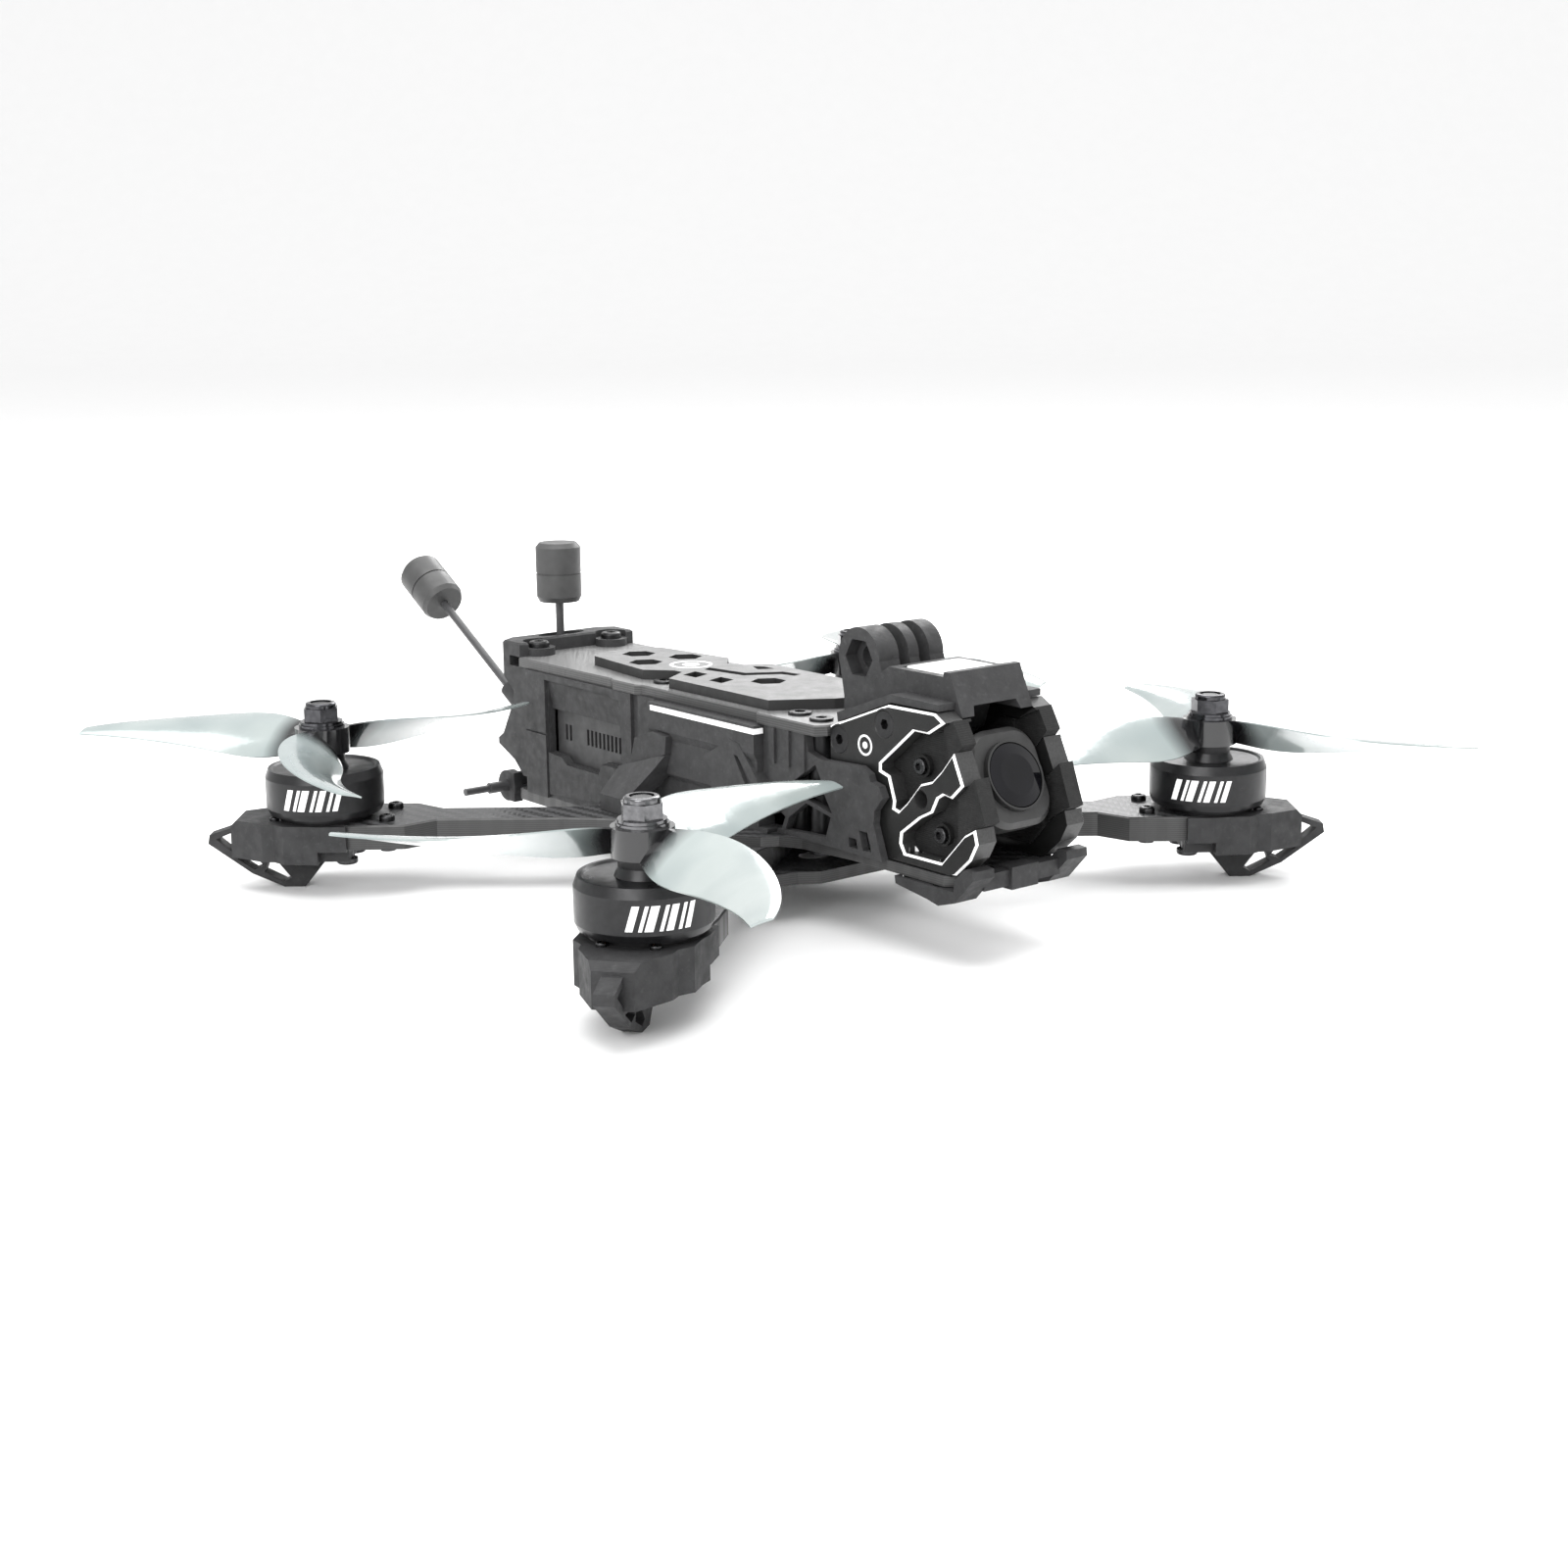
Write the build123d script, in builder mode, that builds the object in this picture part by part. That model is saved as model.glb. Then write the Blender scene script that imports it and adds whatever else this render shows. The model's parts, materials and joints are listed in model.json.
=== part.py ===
from build123d import *
import os
from math import cos, hypot, pi, radians, sin

# Five-inch freestyle quadcopter.  Millimetres, nose towards -Y, +Z up, the drone's right side at -X.
# The origin is the middle of the bottom plate's underside.

os.makedirs("parts", exist_ok=True)

# ---- driving dimensions -------------------------------------------------------------------------
MOTOR_X = 85.25            # motor axes, half spacing across
MOTOR_Y = 67.8             # motor axes, half spacing along
PROP_RADIUS = 64.4
BOTTOM_T = 3.0             # carbon plates and arms
ARM_T = 6.0
DECK_T = 2.5
ROOF_T = 2.5
PAD_T = 2.5
STANDOFF_H = 25.0
FOOT_Z = -8.7              # lowest point of the motor guards
BODY_HALF = 18.6           # outer face of the side panels
PANEL_IN = 16.7            # inner face of the side panels
CAGE_OUT = 16.4            # outer and inner faces of the aluminium camera plates
CAGE_IN = 10.7
BELL_R = 14.3
BELL_LOW = 10.4
BELL_TOP = 21.5
HUB_LOW = 25.0             # propeller hub
HUB_TOP = 31.2
SHAFT_R = 2.5
FIT = 0.05                 # radial running clearance of shafts
GAP = 0.15                 # easy clearance between assembled pieces
STACK = 30.5               # electronics mounting square
MOTOR_PATTERN = 16.0       # motor mounting square
CAMERA_TILT = 25.0
GIMBAL_AXIS_Y = -47.0      # action-camera finger axis
GIMBAL_AXIS_Z = 54.1
FINGER_R = 7.0
FINGER_BORE_R = 2.55

Z_ARM = BOTTOM_T
Z_DECK = Z_ARM + ARM_T
Z_FLOOR = Z_DECK + DECK_T
Z_ROOF = Z_FLOOR + STANDOFF_H
Z_PAD = Z_ROOF + ROOF_T
ARM_LENGTH = hypot(MOTOR_X, MOTOR_Y)

CORNERS = {
    "front_right": (-1, -1),
    "front_left": (1, -1),
    "rear_right": (-1, 1),
    "rear_left": (1, 1),
}
SPIN_CCW = {"front_right": True, "front_left": False, "rear_right": False, "rear_left": True}
BLADE_ANGLE = {"front_right": 17.1, "front_left": 56.2, "rear_right": 4.2, "rear_left": 46.9}


def save(part, name):
    """Labels a finished piece and writes it as one STEP file."""
    part.label = name
    export_step(part, f"parts/{name}.step")


def both_sides(half):
    """Closes an outline that is the same on both sides of the Y axis, from its +X half."""
    return half + [(-x, y) for x, y in reversed(half) if x != 0]


def outward_plane(corner, reach, z):
    """A level plane on an arm's line, its x axis pointing away from the body."""
    sx, sy = CORNERS[corner]
    ux, uy = sx * MOTOR_X / ARM_LENGTH, sy * MOTOR_Y / ARM_LENGTH
    return Plane(origin=(ux * reach, uy * reach, z), x_dir=(ux, uy, 0), z_dir=(0, 0, 1))


def side_plane(x):
    """A plane facing +X whose sketch axes are the body's Y and Z."""
    return Plane(origin=(x, 0, 0), x_dir=(0, 1, 0), z_dir=(1, 0, 0))


def plate(points, z, thickness):
    """A flat plate with a polygonal outline, standing on height z."""
    with BuildPart() as flat:
        with BuildSketch(Plane.XY.offset(z)):
            with BuildLine():
                Polyline(*points, close=True)
            make_face()
        extrude(amount=thickness)
    return flat.part


def slab(points, x_low, x_high):
    """A slab with an outline in Y and Z, between two x values."""
    with BuildPart() as flat:
        with BuildSketch(side_plane(x_low)):
            with BuildLine():
                Polyline(*points, close=True)
            make_face()
        extrude(amount=x_high - x_low)
    return flat.part


def rod(plane, radius, length):
    """A round bar that starts on a plane and runs along its normal."""
    with BuildPart() as bar:
        with BuildSketch(plane):
            Circle(radius)
        extrude(amount=length)
    return bar.part


def cap_screw(plane, head_r, head_h, shank_r, length, socket=True):
    """A round-headed screw whose head rests on the plane and whose shank runs back from it."""
    with BuildPart() as screw:
        with BuildSketch(plane):
            Circle(head_r)
        extrude(amount=head_h)
        rim = screw.edges().filter_by(GeomType.CIRCLE).sort_by(Axis(plane.origin, plane.z_dir))[-1]
        fillet(rim, head_h * 0.45)
        if socket:
            with BuildSketch(plane.offset(head_h)):
                RegularPolygon(head_r * 0.5, 6)
            extrude(amount=-head_h * 0.6, mode=Mode.SUBTRACT)
        with BuildSketch(plane):
            Circle(shank_r)
        extrude(amount=-length)
    return screw.part


def countersunk_screw(plane, head_r, shank_r, length):
    """A flat-headed screw flush with the plane, running back from it."""
    with BuildPart() as screw:
        with BuildSketch(plane):
            Circle(head_r)
        with BuildSketch(plane.offset(-(head_r - shank_r))):
            Circle(shank_r)
        loft()
        with BuildSketch(plane):
            Circle(shank_r)
        extrude(amount=-length)
        with BuildSketch(plane):
            RegularPolygon(head_r * 0.42, 6)
        extrude(amount=-head_r * 0.5, mode=Mode.SUBTRACT)
    return screw.part


def countersunk_bore(plane, head_r, bore_r, depth):
    """The hollow that a flat-headed screw needs, running back from the plane."""
    with BuildPart() as hollow:
        with BuildSketch(plane):
            Circle(head_r)
        with BuildSketch(plane.offset(-(head_r - bore_r))):
            Circle(bore_r)
        loft()
        with BuildSketch(plane):
            Circle(bore_r)
        extrude(amount=-depth)
    return hollow.part


# ---- hole positions -----------------------------------------------------------------------------
REAR_POST = (11.7, 83.9)
MID_POST = (12.0, 26.0)
FRONT_POSTS = [(13.0, -29.0), (14.0, -38.0)]
DECK_POSTS = [MID_POST] + FRONT_POSTS
POST_R = 2.5
POST_BORE_R = 1.5
SCREW_R = 1.5
STACK_HOLES = [(sx * STACK / 2, sy * STACK / 2) for sx in (-1, 1) for sy in (-1, 1)]
CAGE_BOLTS = [(-47.0, 36.2), (-62.4, 41.9)]      # y, z of the screws through the camera plates
CAGE_FEET = [-70.0, -80.0]                       # y of the screws that hold the plates to the deck


def mirrored(points):
    """Each place and its mirror image across the middle plane."""
    return points + [(-x, y) for x, y in points]


# ---- carbon plates ------------------------------------------------------------------------------
BOTTOM_HALF = [(0, -37), (13.5, -37), (18, -34), (26.5, -32), (32, -24.5), (22, -13), (18.6, -6),
               (18.6, 6), (22, 13), (32, 24.5), (27, 32), (18.6, 36), (18.6, 84.5), (15.5, 88), (0, 88)]
DECK_HALF = [(0, -86), (12.5, -86), (16.4, -82), (16.4, -52), (18.3, -36), (20.8, -30.5), (24.9, -28.8),
             (30, -21.5), (21, -12), (19.4, -7), (19.4, 7), (21, 12), (30, 21.5), (25.5, 29), (19.4, 33),
             (0, 33)]
ROOF_HALF = [(0, -43.5), (16.8, -43.5), (19.5, -42), (19.5, -21), (18.4, -19.5), (18.4, 27), (19.5, 28.5),
             (19.5, 38), (18.6, 40), (18.8, 82.9), (14.5, 88), (0, 88)]

with BuildPart() as bottom_plate:
    add(plate(both_sides(BOTTOM_HALF), 0, BOTTOM_T))
    for x, y in STACK_HOLES + mirrored([REAR_POST]):
        add(countersunk_bore(Plane(origin=(x, y, 0), z_dir=(0, 0, -1)), 2.9, SCREW_R + FIT, BOTTOM_T),
            mode=Mode.SUBTRACT)
    with BuildSketch():
        with Locations((0, 60)):
            RectangleRounded(16, 26, 3)
        with Locations((0, 24), (0, -24)):
            SlotOverall(18, 6)
    extrude(amount=BOTTOM_T, mode=Mode.SUBTRACT)
save(bottom_plate.part, "bottom_plate")

with BuildPart() as mid_plate:
    add(plate(both_sides(DECK_HALF), Z_DECK, DECK_T))
    with BuildSketch(Plane.XY.offset(Z_DECK)):
        with Locations(*STACK_HOLES):
            Circle(SCREW_R + FIT)
        with Locations(*mirrored(DECK_POSTS)):
            Circle(SCREW_R + FIT)
        with Locations(*mirrored([((CAGE_OUT + CAGE_IN) / 2, y) for y in CAGE_FEET])):
            Circle(SCREW_R + FIT)
        with Locations((0, -60)):
            RectangleRounded(14, 24, 3)
        SlotOverall(20, 9)
    extrude(amount=DECK_T, mode=Mode.SUBTRACT)
save(mid_plate.part, "mid_plate")

with BuildPart() as top_plate:
    add(plate(both_sides(ROOF_HALF), Z_ROOF, ROOF_T))
    with BuildSketch(Plane.XY.offset(Z_ROOF)):
        with Locations(*mirrored(DECK_POSTS + [REAR_POST])):
            Circle(SCREW_R + FIT)
        with Locations((0, 8)):
            RectangleRounded(12, 14, 3)
    extrude(amount=ROOF_T, mode=Mode.SUBTRACT)
    chamfer(top_plate.edges().group_by(Axis.Z)[-1].filter_by(GeomType.LINE), 0.3)
save(top_plate.part, "top_plate")

# ---- arms ---------------------------------------------------------------------------------------
ARM_PAD_R = 11.8
GUARD_SCREW_BACK = 16.0     # screws inboard of the motor, from the motor axis
GUARD_SCREW_HALF = 6.7


def arm(corner):
    """One carbon arm, from its root between the plates to the round pad under the motor."""
    sx, sy = CORNERS[corner]
    half = [(13.5, 9.2), (34, 9.2), (40, 7.4), (50, 6.2), (ARM_LENGTH - 28, 6.2), (ARM_LENGTH - 21, 12.0),
            (ARM_LENGTH - 12, 12.4), (ARM_LENGTH, ARM_PAD_R)]
    outline = half + [(u, -v) for u, v in reversed(half)]
    with BuildPart() as limb:
        with BuildSketch(outward_plane(corner, 0, Z_ARM)):
            with BuildLine():
                Polyline(*outline, close=True)
            make_face()
            with Locations((ARM_LENGTH, 0)):
                Circle(ARM_PAD_R)
                Circle(3.2, mode=Mode.SUBTRACT)
                with PolarLocations(MOTOR_PATTERN / 2, 4, start_angle=45):
                    Circle(SCREW_R + FIT, mode=Mode.SUBTRACT)
            with Locations((ARM_LENGTH - GUARD_SCREW_BACK, GUARD_SCREW_HALF),
                           (ARM_LENGTH - GUARD_SCREW_BACK, -GUARD_SCREW_HALF)):
                Circle(1.0 + FIT, mode=Mode.SUBTRACT)
        extrude(amount=ARM_T)
        chamfer(limb.edges().group_by(Axis.Z)[-1].filter_by(GeomType.LINE), 0.35)
        with BuildSketch(Plane.XY.offset(Z_ARM)):
            with Locations((sx * STACK / 2, sy * STACK / 2)):
                Circle(SCREW_R + FIT)
        extrude(amount=ARM_T, mode=Mode.SUBTRACT)
    return limb.part


for corner in CORNERS:
    save(arm(corner), f"arm_{corner}")

# ---- standoffs, battery pad ---------------------------------------------------------------------
with BuildPart() as standoffs:
    with BuildSketch(Plane.XY.offset(Z_FLOOR)):
        with Locations(*mirrored(DECK_POSTS)):
            Circle(POST_R)
            Circle(POST_BORE_R, mode=Mode.SUBTRACT)
    extrude(amount=STANDOFF_H)
    with BuildSketch(Plane.XY.offset(BOTTOM_T)):
        with Locations(*mirrored([REAR_POST])):
            Circle(POST_R)
            Circle(POST_BORE_R, mode=Mode.SUBTRACT)
    extrude(amount=Z_ROOF - BOTTOM_T)
save(standoffs.part, "standoffs")

PAD_HALF = [(0, -30.5), (3, -29.5), (16, -21), (16, 18.5), (8.3, 23.6), (8.3, 26.8), (13.6, 33), (12, 48),
            (10.6, 59), (7, 62.5), (0, 62.5)]
PAD_CENTRE_Y = -0.8         # the front field's cut-outs are the same after half a turn about this point
HEXAGON_R = 4.4

with BuildPart() as battery_pad:
    add(plate(both_sides(PAD_HALF), Z_PAD, PAD_T))
    with BuildSketch(Plane.XY.offset(Z_PAD)):
        with Locations((0, 54), (-6.3, 42), (6.3, 42), (0, PAD_CENTRE_Y)):
            RegularPolygon(HEXAGON_R, 6, rotation=30)
        with Locations((0, PAD_CENTRE_Y)):
            with PolarLocations(0, 2):
                for x, y in ((-7.8, 18.6), (-7.8, 8.0)):
                    with BuildLine():
                        Polyline((x - 2.6, y - 3.6), (x + 2.6, y - 1.6), (x + 2.6, y + 3.6),
                                 (x - 2.6, y + 1.6), close=True)
                    make_face()
                with BuildLine():
                    Polyline((-1.8, 23.0), (0.9, 24.4), (2.9, 12.0), (10.9, 7.2), (12.0, 1.4), (9.4, 0.8),
                             (8.5, 4.8), (0.3, 9.6), close=True)
                make_face()
                with BuildLine():
                    Polyline((8.4, 14.2), (12.2, 12.2), (12.2, 16.4), (10.2, 18.6), close=True)
                make_face()
    extrude(amount=PAD_T, mode=Mode.SUBTRACT)
save(battery_pad.part, "battery_pad")

# ---- aluminium camera cage ----------------------------------------------------------------------
CAGE_OUTLINE = [(-43.7, 38.9), (-63.6, 46.4), (-78.8, 46.6), (-81.8, 44.9), (-87.5, 32.8), (-91.4, 23.8),
                (-92.4, 20.2), (-90.3, 16.3), (-85.6, 12.1), (-84.0, 11.5), (-62.0, 11.5), (-52.0, 22.0),
                (-43.7, 31.5)]
UPPER_POCKET = [(-76.7, 41.8), (-72.1, 41.8), (-61.2, 32.9), (-61.2, 31.4), (-64.1, 30.6), (-66.0, 25.2),
                (-65.7, 23.6), (-67.3, 23.2), (-69.9, 25.5), (-74.3, 30.4), (-78.0, 31.6), (-80.8, 34.2),
                (-86.0, 40.4), (-83.0, 45.6)]
LOWER_POCKET = [(-84.2, 28.8), (-81.7, 29.2), (-79.9, 28.1), (-78.1, 24.7), (-74.3, 22.8), (-68.3, 18.4),
                (-68.0, 16.1), (-69.3, 14.0), (-81.2, 14.1), (-88.2, 21.4), (-93.4, 24.4), (-89.8, 34.0)]
LOCATING_HOLE = (-74.6, 27.1)
CAGE_BEVEL = 0.45


def cage_plate(side):
    """A thick plate beside the camera, with two pockets open to the front edge."""
    inner = -CAGE_OUT if side < 0 else CAGE_IN
    outer_face = side_plane(side * CAGE_OUT)
    with BuildPart() as cheek:
        add(slab(CAGE_OUTLINE, inner, inner + CAGE_OUT - CAGE_IN))
        rim = cheek.faces().filter_by(Axis.X).sort_by(Axis.X)[-1 if side > 0 else 0]
        chamfer(rim.edges(), CAGE_BEVEL)
        for pocket in (UPPER_POCKET, LOWER_POCKET):
            add(slab(pocket, inner, inner + CAGE_OUT - CAGE_IN), mode=Mode.SUBTRACT)
            with BuildSketch(Plane(origin=(side * CAGE_OUT, 0, 0), x_dir=(0, 1, 0), z_dir=(side, 0, 0))):
                with BuildLine():
                    Polyline(*[(y, side * z) for y, z in pocket], close=True)
                make_face()
                offset(amount=CAGE_BEVEL, kind=Kind.INTERSECTION)
            extrude(amount=-CAGE_BEVEL, taper=45, mode=Mode.SUBTRACT)
        for y, z in CAGE_BOLTS:
            start = Plane(origin=(side * CAGE_OUT, y, z), x_dir=(0, 1, 0), z_dir=(side, 0, 0))
            add(countersunk_bore(start, 3.2, SCREW_R + FIT, CAGE_OUT - CAGE_IN), mode=Mode.SUBTRACT)
        with BuildSketch(side_plane(inner)):
            with Locations(LOCATING_HOLE):
                Circle(2.1)
        extrude(amount=CAGE_OUT - CAGE_IN, mode=Mode.SUBTRACT)
        with BuildSketch(Plane.XY.offset(Z_FLOOR)):
            with Locations(*[(side * (CAGE_OUT + CAGE_IN) / 2, y) for y in CAGE_FEET]):
                Circle(SCREW_R + FIT)
        extrude(amount=6, mode=Mode.SUBTRACT)
    return cheek.part


save(cage_plate(-1), "cage_plate_right")
save(cage_plate(1), "cage_plate_left")

with BuildPart() as cage_spacers:
    for y, z in CAGE_BOLTS:
        with BuildSketch(side_plane(-CAGE_IN)):
            with Locations((y, z)):
                Circle(POST_R)
                Circle(POST_BORE_R, mode=Mode.SUBTRACT)
        extrude(amount=2 * CAGE_IN)
save(cage_spacers.part, "cage_spacers")

# ---- camera between the plates ------------------------------------------------------------------
LENS_CENTRE = (0, -87.6, 32.5)
INSERT_SCREWS = [(-71.9, 33.7), (-78.6, 19.5)]
INSERT_FACE = 12.4          # bottom of the pockets' filling
INSERT_LIP = 14.8           # where it shows at the front edge
INSERT_BOSS = 13.6          # seats of the camera screws
INSERT_BOSS_R = 2.5
INSERT_REAR = [(-79.0, 46.0), (-84.8, 28.0), (-84.8, 12.0), (-60, 12.0), (-60, 46.0)]
CAMERA_HALF = 9.5
BEZEL_BACK = 1.8
BEZEL_DEPTH = 5.0
BODY_DEPTH = 15.0
tilt = radians(CAMERA_TILT)
lens_plane = Plane(origin=LENS_CENTRE, x_dir=(1, 0, 0), z_dir=(0, -cos(tilt), sin(tilt)))


def camera_insert(side):
    """Flexible filler of the two pockets, which carries the camera between the plates."""
    inner = CAMERA_HALF + GAP

    def span(outer):
        return (-outer, -inner) if side < 0 else (inner, outer)

    web_low = span(CAGE_IN - GAP)[0]
    with BuildPart() as filler:
        for pocket in (UPPER_POCKET, LOWER_POCKET):
            low, high = span(INSERT_FACE)
            with BuildSketch(side_plane(low)):
                with BuildLine():
                    Polyline(*pocket, close=True)
                make_face()
                offset(amount=-GAP, kind=Kind.INTERSECTION)
            extrude(amount=high - low)
            low, high = span(INSERT_LIP)
            with BuildSketch(side_plane(low)):
                with BuildLine():
                    Polyline(*pocket, close=True)
                make_face()
                offset(amount=-GAP, kind=Kind.INTERSECTION)
                with BuildLine():
                    Polyline(*INSERT_REAR, close=True)
                make_face(mode=Mode.SUBTRACT)
            extrude(amount=high - low)
        low, high = span(INSERT_BOSS)
        with BuildSketch(side_plane(low)):
            with Locations(*INSERT_SCREWS):
                Circle(INSERT_BOSS_R)
        extrude(amount=high - low)
        with BuildSketch(side_plane(web_low)):
            with BuildLine():
                Polyline((-62.5, 30.0), (-66.5, 17.0), (-82.0, 14.6), (-89.0, 22.4), (-83.6, 37.6),
                         (-73.0, 40.8), close=True)
            make_face()
        extrude(amount=CAGE_IN - CAMERA_HALF - 2 * GAP)
        with BuildSketch(side_plane(low)):
            with Locations(*INSERT_SCREWS):
                Circle(1.0 + FIT)
        extrude(amount=high - low, mode=Mode.SUBTRACT)
        with BuildSketch(lens_plane.offset(-BEZEL_BACK - BEZEL_DEPTH - GAP)):
            Rectangle(2 * CAGE_IN - 0.2, 26)
        extrude(amount=20, mode=Mode.SUBTRACT)
    return filler.part


save(camera_insert(-1), "camera_insert_right")
save(camera_insert(1), "camera_insert_left")

with BuildPart() as camera_body:
    with BuildSketch(lens_plane.offset(-BEZEL_BACK - BEZEL_DEPTH)):
        RectangleRounded(2 * CAMERA_HALF, 2 * CAMERA_HALF, 2.5)
    extrude(amount=-BODY_DEPTH)
    with BuildSketch(lens_plane.offset(-BEZEL_BACK - BEZEL_DEPTH - BODY_DEPTH)):
        for row in (-6, -2, 2, 6):
            with Locations((0, row)):
                SlotOverall(14, 1.4)
    extrude(amount=1.2, mode=Mode.SUBTRACT)
    for y, z in INSERT_SCREWS:
        with BuildSketch(side_plane(-CAMERA_HALF)):
            with Locations((y, z)):
                Circle(1.0 + FIT)
        extrude(amount=4, mode=Mode.SUBTRACT)
        with BuildSketch(side_plane(CAMERA_HALF)):
            with Locations((y, z)):
                Circle(1.0 + FIT)
        extrude(amount=-4, mode=Mode.SUBTRACT)
save(camera_body.part, "camera_body")

BARREL_R = 7.9
with BuildPart() as camera_bezel:
    with BuildSketch(lens_plane.offset(-BEZEL_BACK)):
        RectangleRounded(20.6, 22.4, 6.8)
    extrude(amount=-BEZEL_DEPTH)
    chamfer(camera_bezel.faces().sort_by(Axis(LENS_CENTRE, lens_plane.z_dir))[-1].edges(), 1.2)
    with BuildSketch(lens_plane.offset(-BEZEL_BACK)):
        Circle(BARREL_R + FIT)
    extrude(amount=-BEZEL_DEPTH, mode=Mode.SUBTRACT)
save(camera_bezel.part, "camera_bezel")

with BuildPart() as camera_lens:
    with BuildSketch(lens_plane.offset(-BEZEL_BACK - BEZEL_DEPTH)):
        Circle(BARREL_R)
    extrude(amount=BEZEL_DEPTH + BEZEL_BACK - 0.4)
    with BuildSketch(lens_plane.offset(-0.4)):
        Circle(BARREL_R - 0.5)
    extrude(amount=-2.4, mode=Mode.SUBTRACT)
    with BuildSketch(lens_plane.offset(-2.8)):
        Circle(3.2)
    extrude(amount=-1.4, mode=Mode.SUBTRACT)
save(camera_lens.part, "camera_lens")

with BuildPart() as lens_glass:
    with BuildSketch(lens_plane.offset(-1.6)):
        Circle(BARREL_R - 0.5 - FIT)
    with BuildSketch(lens_plane.offset(-0.5)):
        Circle(BARREL_R - 0.75)
    with BuildSketch(lens_plane.offset(0.1)):
        Circle(4.6)
    loft(ruled=True)
save(lens_glass.part, "lens_glass")

# ---- action-camera mount with its visor, satellite receiver ----------------------------------------
MOUNT_SIDE = [(-44.6, 39.2), (-44.6, 33.2), (-58.0, 33.4), (-66.0, 38.8), (-68.5, 45.4), (-78.8, 45.4),
              (-81.3, 45.3), (-77.2, 54.6), (-75.4, 54.6), (-75.2, 53.5), (-57.4, 53.5), (-54.2, 51.5),
              (-42.0, 47.5), (-42.0, 39.2)]
SKIRT = [(-45.4, 39.9), (-63.5, 46.8), (-79.0, 46.9), (-79.0, 48.4), (-63.2, 48.6), (-45.0, 42.0)]
FINGERS = [(-10.4, 5.9), (-1.5, 3.0), (4.7, 4.3)]       # low x and width of each finger
GPS_X = 8.4
GPS_Y = (-74.6, -59.8)
GPS_FLOOR = 48.4
NUT_FLATS = 8.1

with BuildPart() as action_camera_mount:
    add(slab(MOUNT_SIDE, -(CAGE_IN - GAP), CAGE_IN - GAP))
    add(slab(SKIRT, -15.3, 15.3))
    for low, width in FINGERS:
        with BuildSketch(side_plane(low)):
            with Locations((GIMBAL_AXIS_Y, GIMBAL_AXIS_Z)):
                Circle(FINGER_R)
            with BuildLine():
                Polyline((GIMBAL_AXIS_Y + FINGER_R, GIMBAL_AXIS_Z), (-42.0, 44.0), (-56.0, 44.0),
                         (GIMBAL_AXIS_Y - FINGER_R - 1.2, GIMBAL_AXIS_Z - 3.4),
                         (GIMBAL_AXIS_Y - FINGER_R, GIMBAL_AXIS_Z), close=True)
            make_face()
        extrude(amount=width)
    with BuildSketch(side_plane(-10.4)):
        with Locations((GIMBAL_AXIS_Y, GIMBAL_AXIS_Z)):
            Circle(FINGER_BORE_R)
    extrude(amount=20, mode=Mode.SUBTRACT)
    with BuildSketch(side_plane(-10.4)):
        with Locations((GIMBAL_AXIS_Y, GIMBAL_AXIS_Z)):
            RegularPolygon(NUT_FLATS / 2, 6, major_radius=False, rotation=0)
    extrude(amount=3.4, mode=Mode.SUBTRACT)
    with BuildSketch(Plane.XY.offset(GPS_FLOOR)):
        with Locations((0, sum(GPS_Y) / 2)):
            Rectangle(2 * GPS_X + 2 * GAP, GPS_Y[1] - GPS_Y[0] + 2 * GAP)
    extrude(amount=10, mode=Mode.SUBTRACT)
    for y, z in CAGE_BOLTS:
        with BuildSketch(side_plane(-CAGE_IN)):
            with Locations((y, z)):
                Circle(POST_R + FIT)
        extrude(amount=2 * CAGE_IN, mode=Mode.SUBTRACT)
    with BuildSketch(Plane.XZ.offset(70)):
        with Locations((0, 45.2)):
            Trapezoid(15.5, 4.4, 72)
    extrude(amount=12, mode=Mode.SUBTRACT)
save(action_camera_mount.part, "action_camera_mount")

with BuildPart() as gps_module:
    with BuildSketch(Plane.XY.offset(GPS_FLOOR)):
        with Locations((0, sum(GPS_Y) / 2)):
            RectangleRounded(2 * GPS_X, GPS_Y[1] - GPS_Y[0], 0.8)
    extrude(amount=1.4)
    with BuildSketch(Plane.XY.offset(GPS_FLOOR + 1.4)):
        with Locations((0, sum(GPS_Y) / 2)):
            RectangleRounded(2 * GPS_X - 0.4, GPS_Y[1] - GPS_Y[0] - 0.4, 1.2)
    extrude(amount=3.9)
    fillet(gps_module.edges().group_by(Axis.Z)[-1], 0.35)
save(gps_module.part, "gps_module")

# ---- side panels --------------------------------------------------------------------------------
PANEL_OUTLINE = [(79.6, BOTTOM_T), (79.6, 36.4), (-38.0, 36.4), (-38.6, 32.4), (-43.5, 31.2), (-56.8, 31.8),
                 (-59.8, 30.5), (-60.4, 28.9), (-63.3, 28.3), (-64.6, 25.9), (-61.7, 22.5), (-61.4, 19.4),
                 (-64.3, Z_FLOOR), (34.0, Z_FLOOR), (34.0, BOTTOM_T)]
WINDOW_REACH = (35.4, 69.2)  # front and rear ends of the sloped recess
WINDOW_SLOPE = [(BODY_HALF + 1.1, 34.0), (BODY_HALF, 34.0), (17.4, 27.4), (17.4, 15.0),
                (BODY_HALF + 1.1, 15.0)]
WINDOW_COVER = [(69.2, 15.3), (62.9, 14.9), (60.5, 13.2), (45.9, 13.1), (44.6, 16.0), (36.0, 16.0),
                (46.0, 5.6), (69.2, 4.0)]
COVER_OUT = 19.2
VENT_WINDOW = [(69.3, 27.0), (37.8, 26.8), (37.4, 16.4), (44.6, 16.3), (45.9, 13.3), (60.5, 13.4),
               (62.9, 15.1), (69.2, 15.5)]
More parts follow.
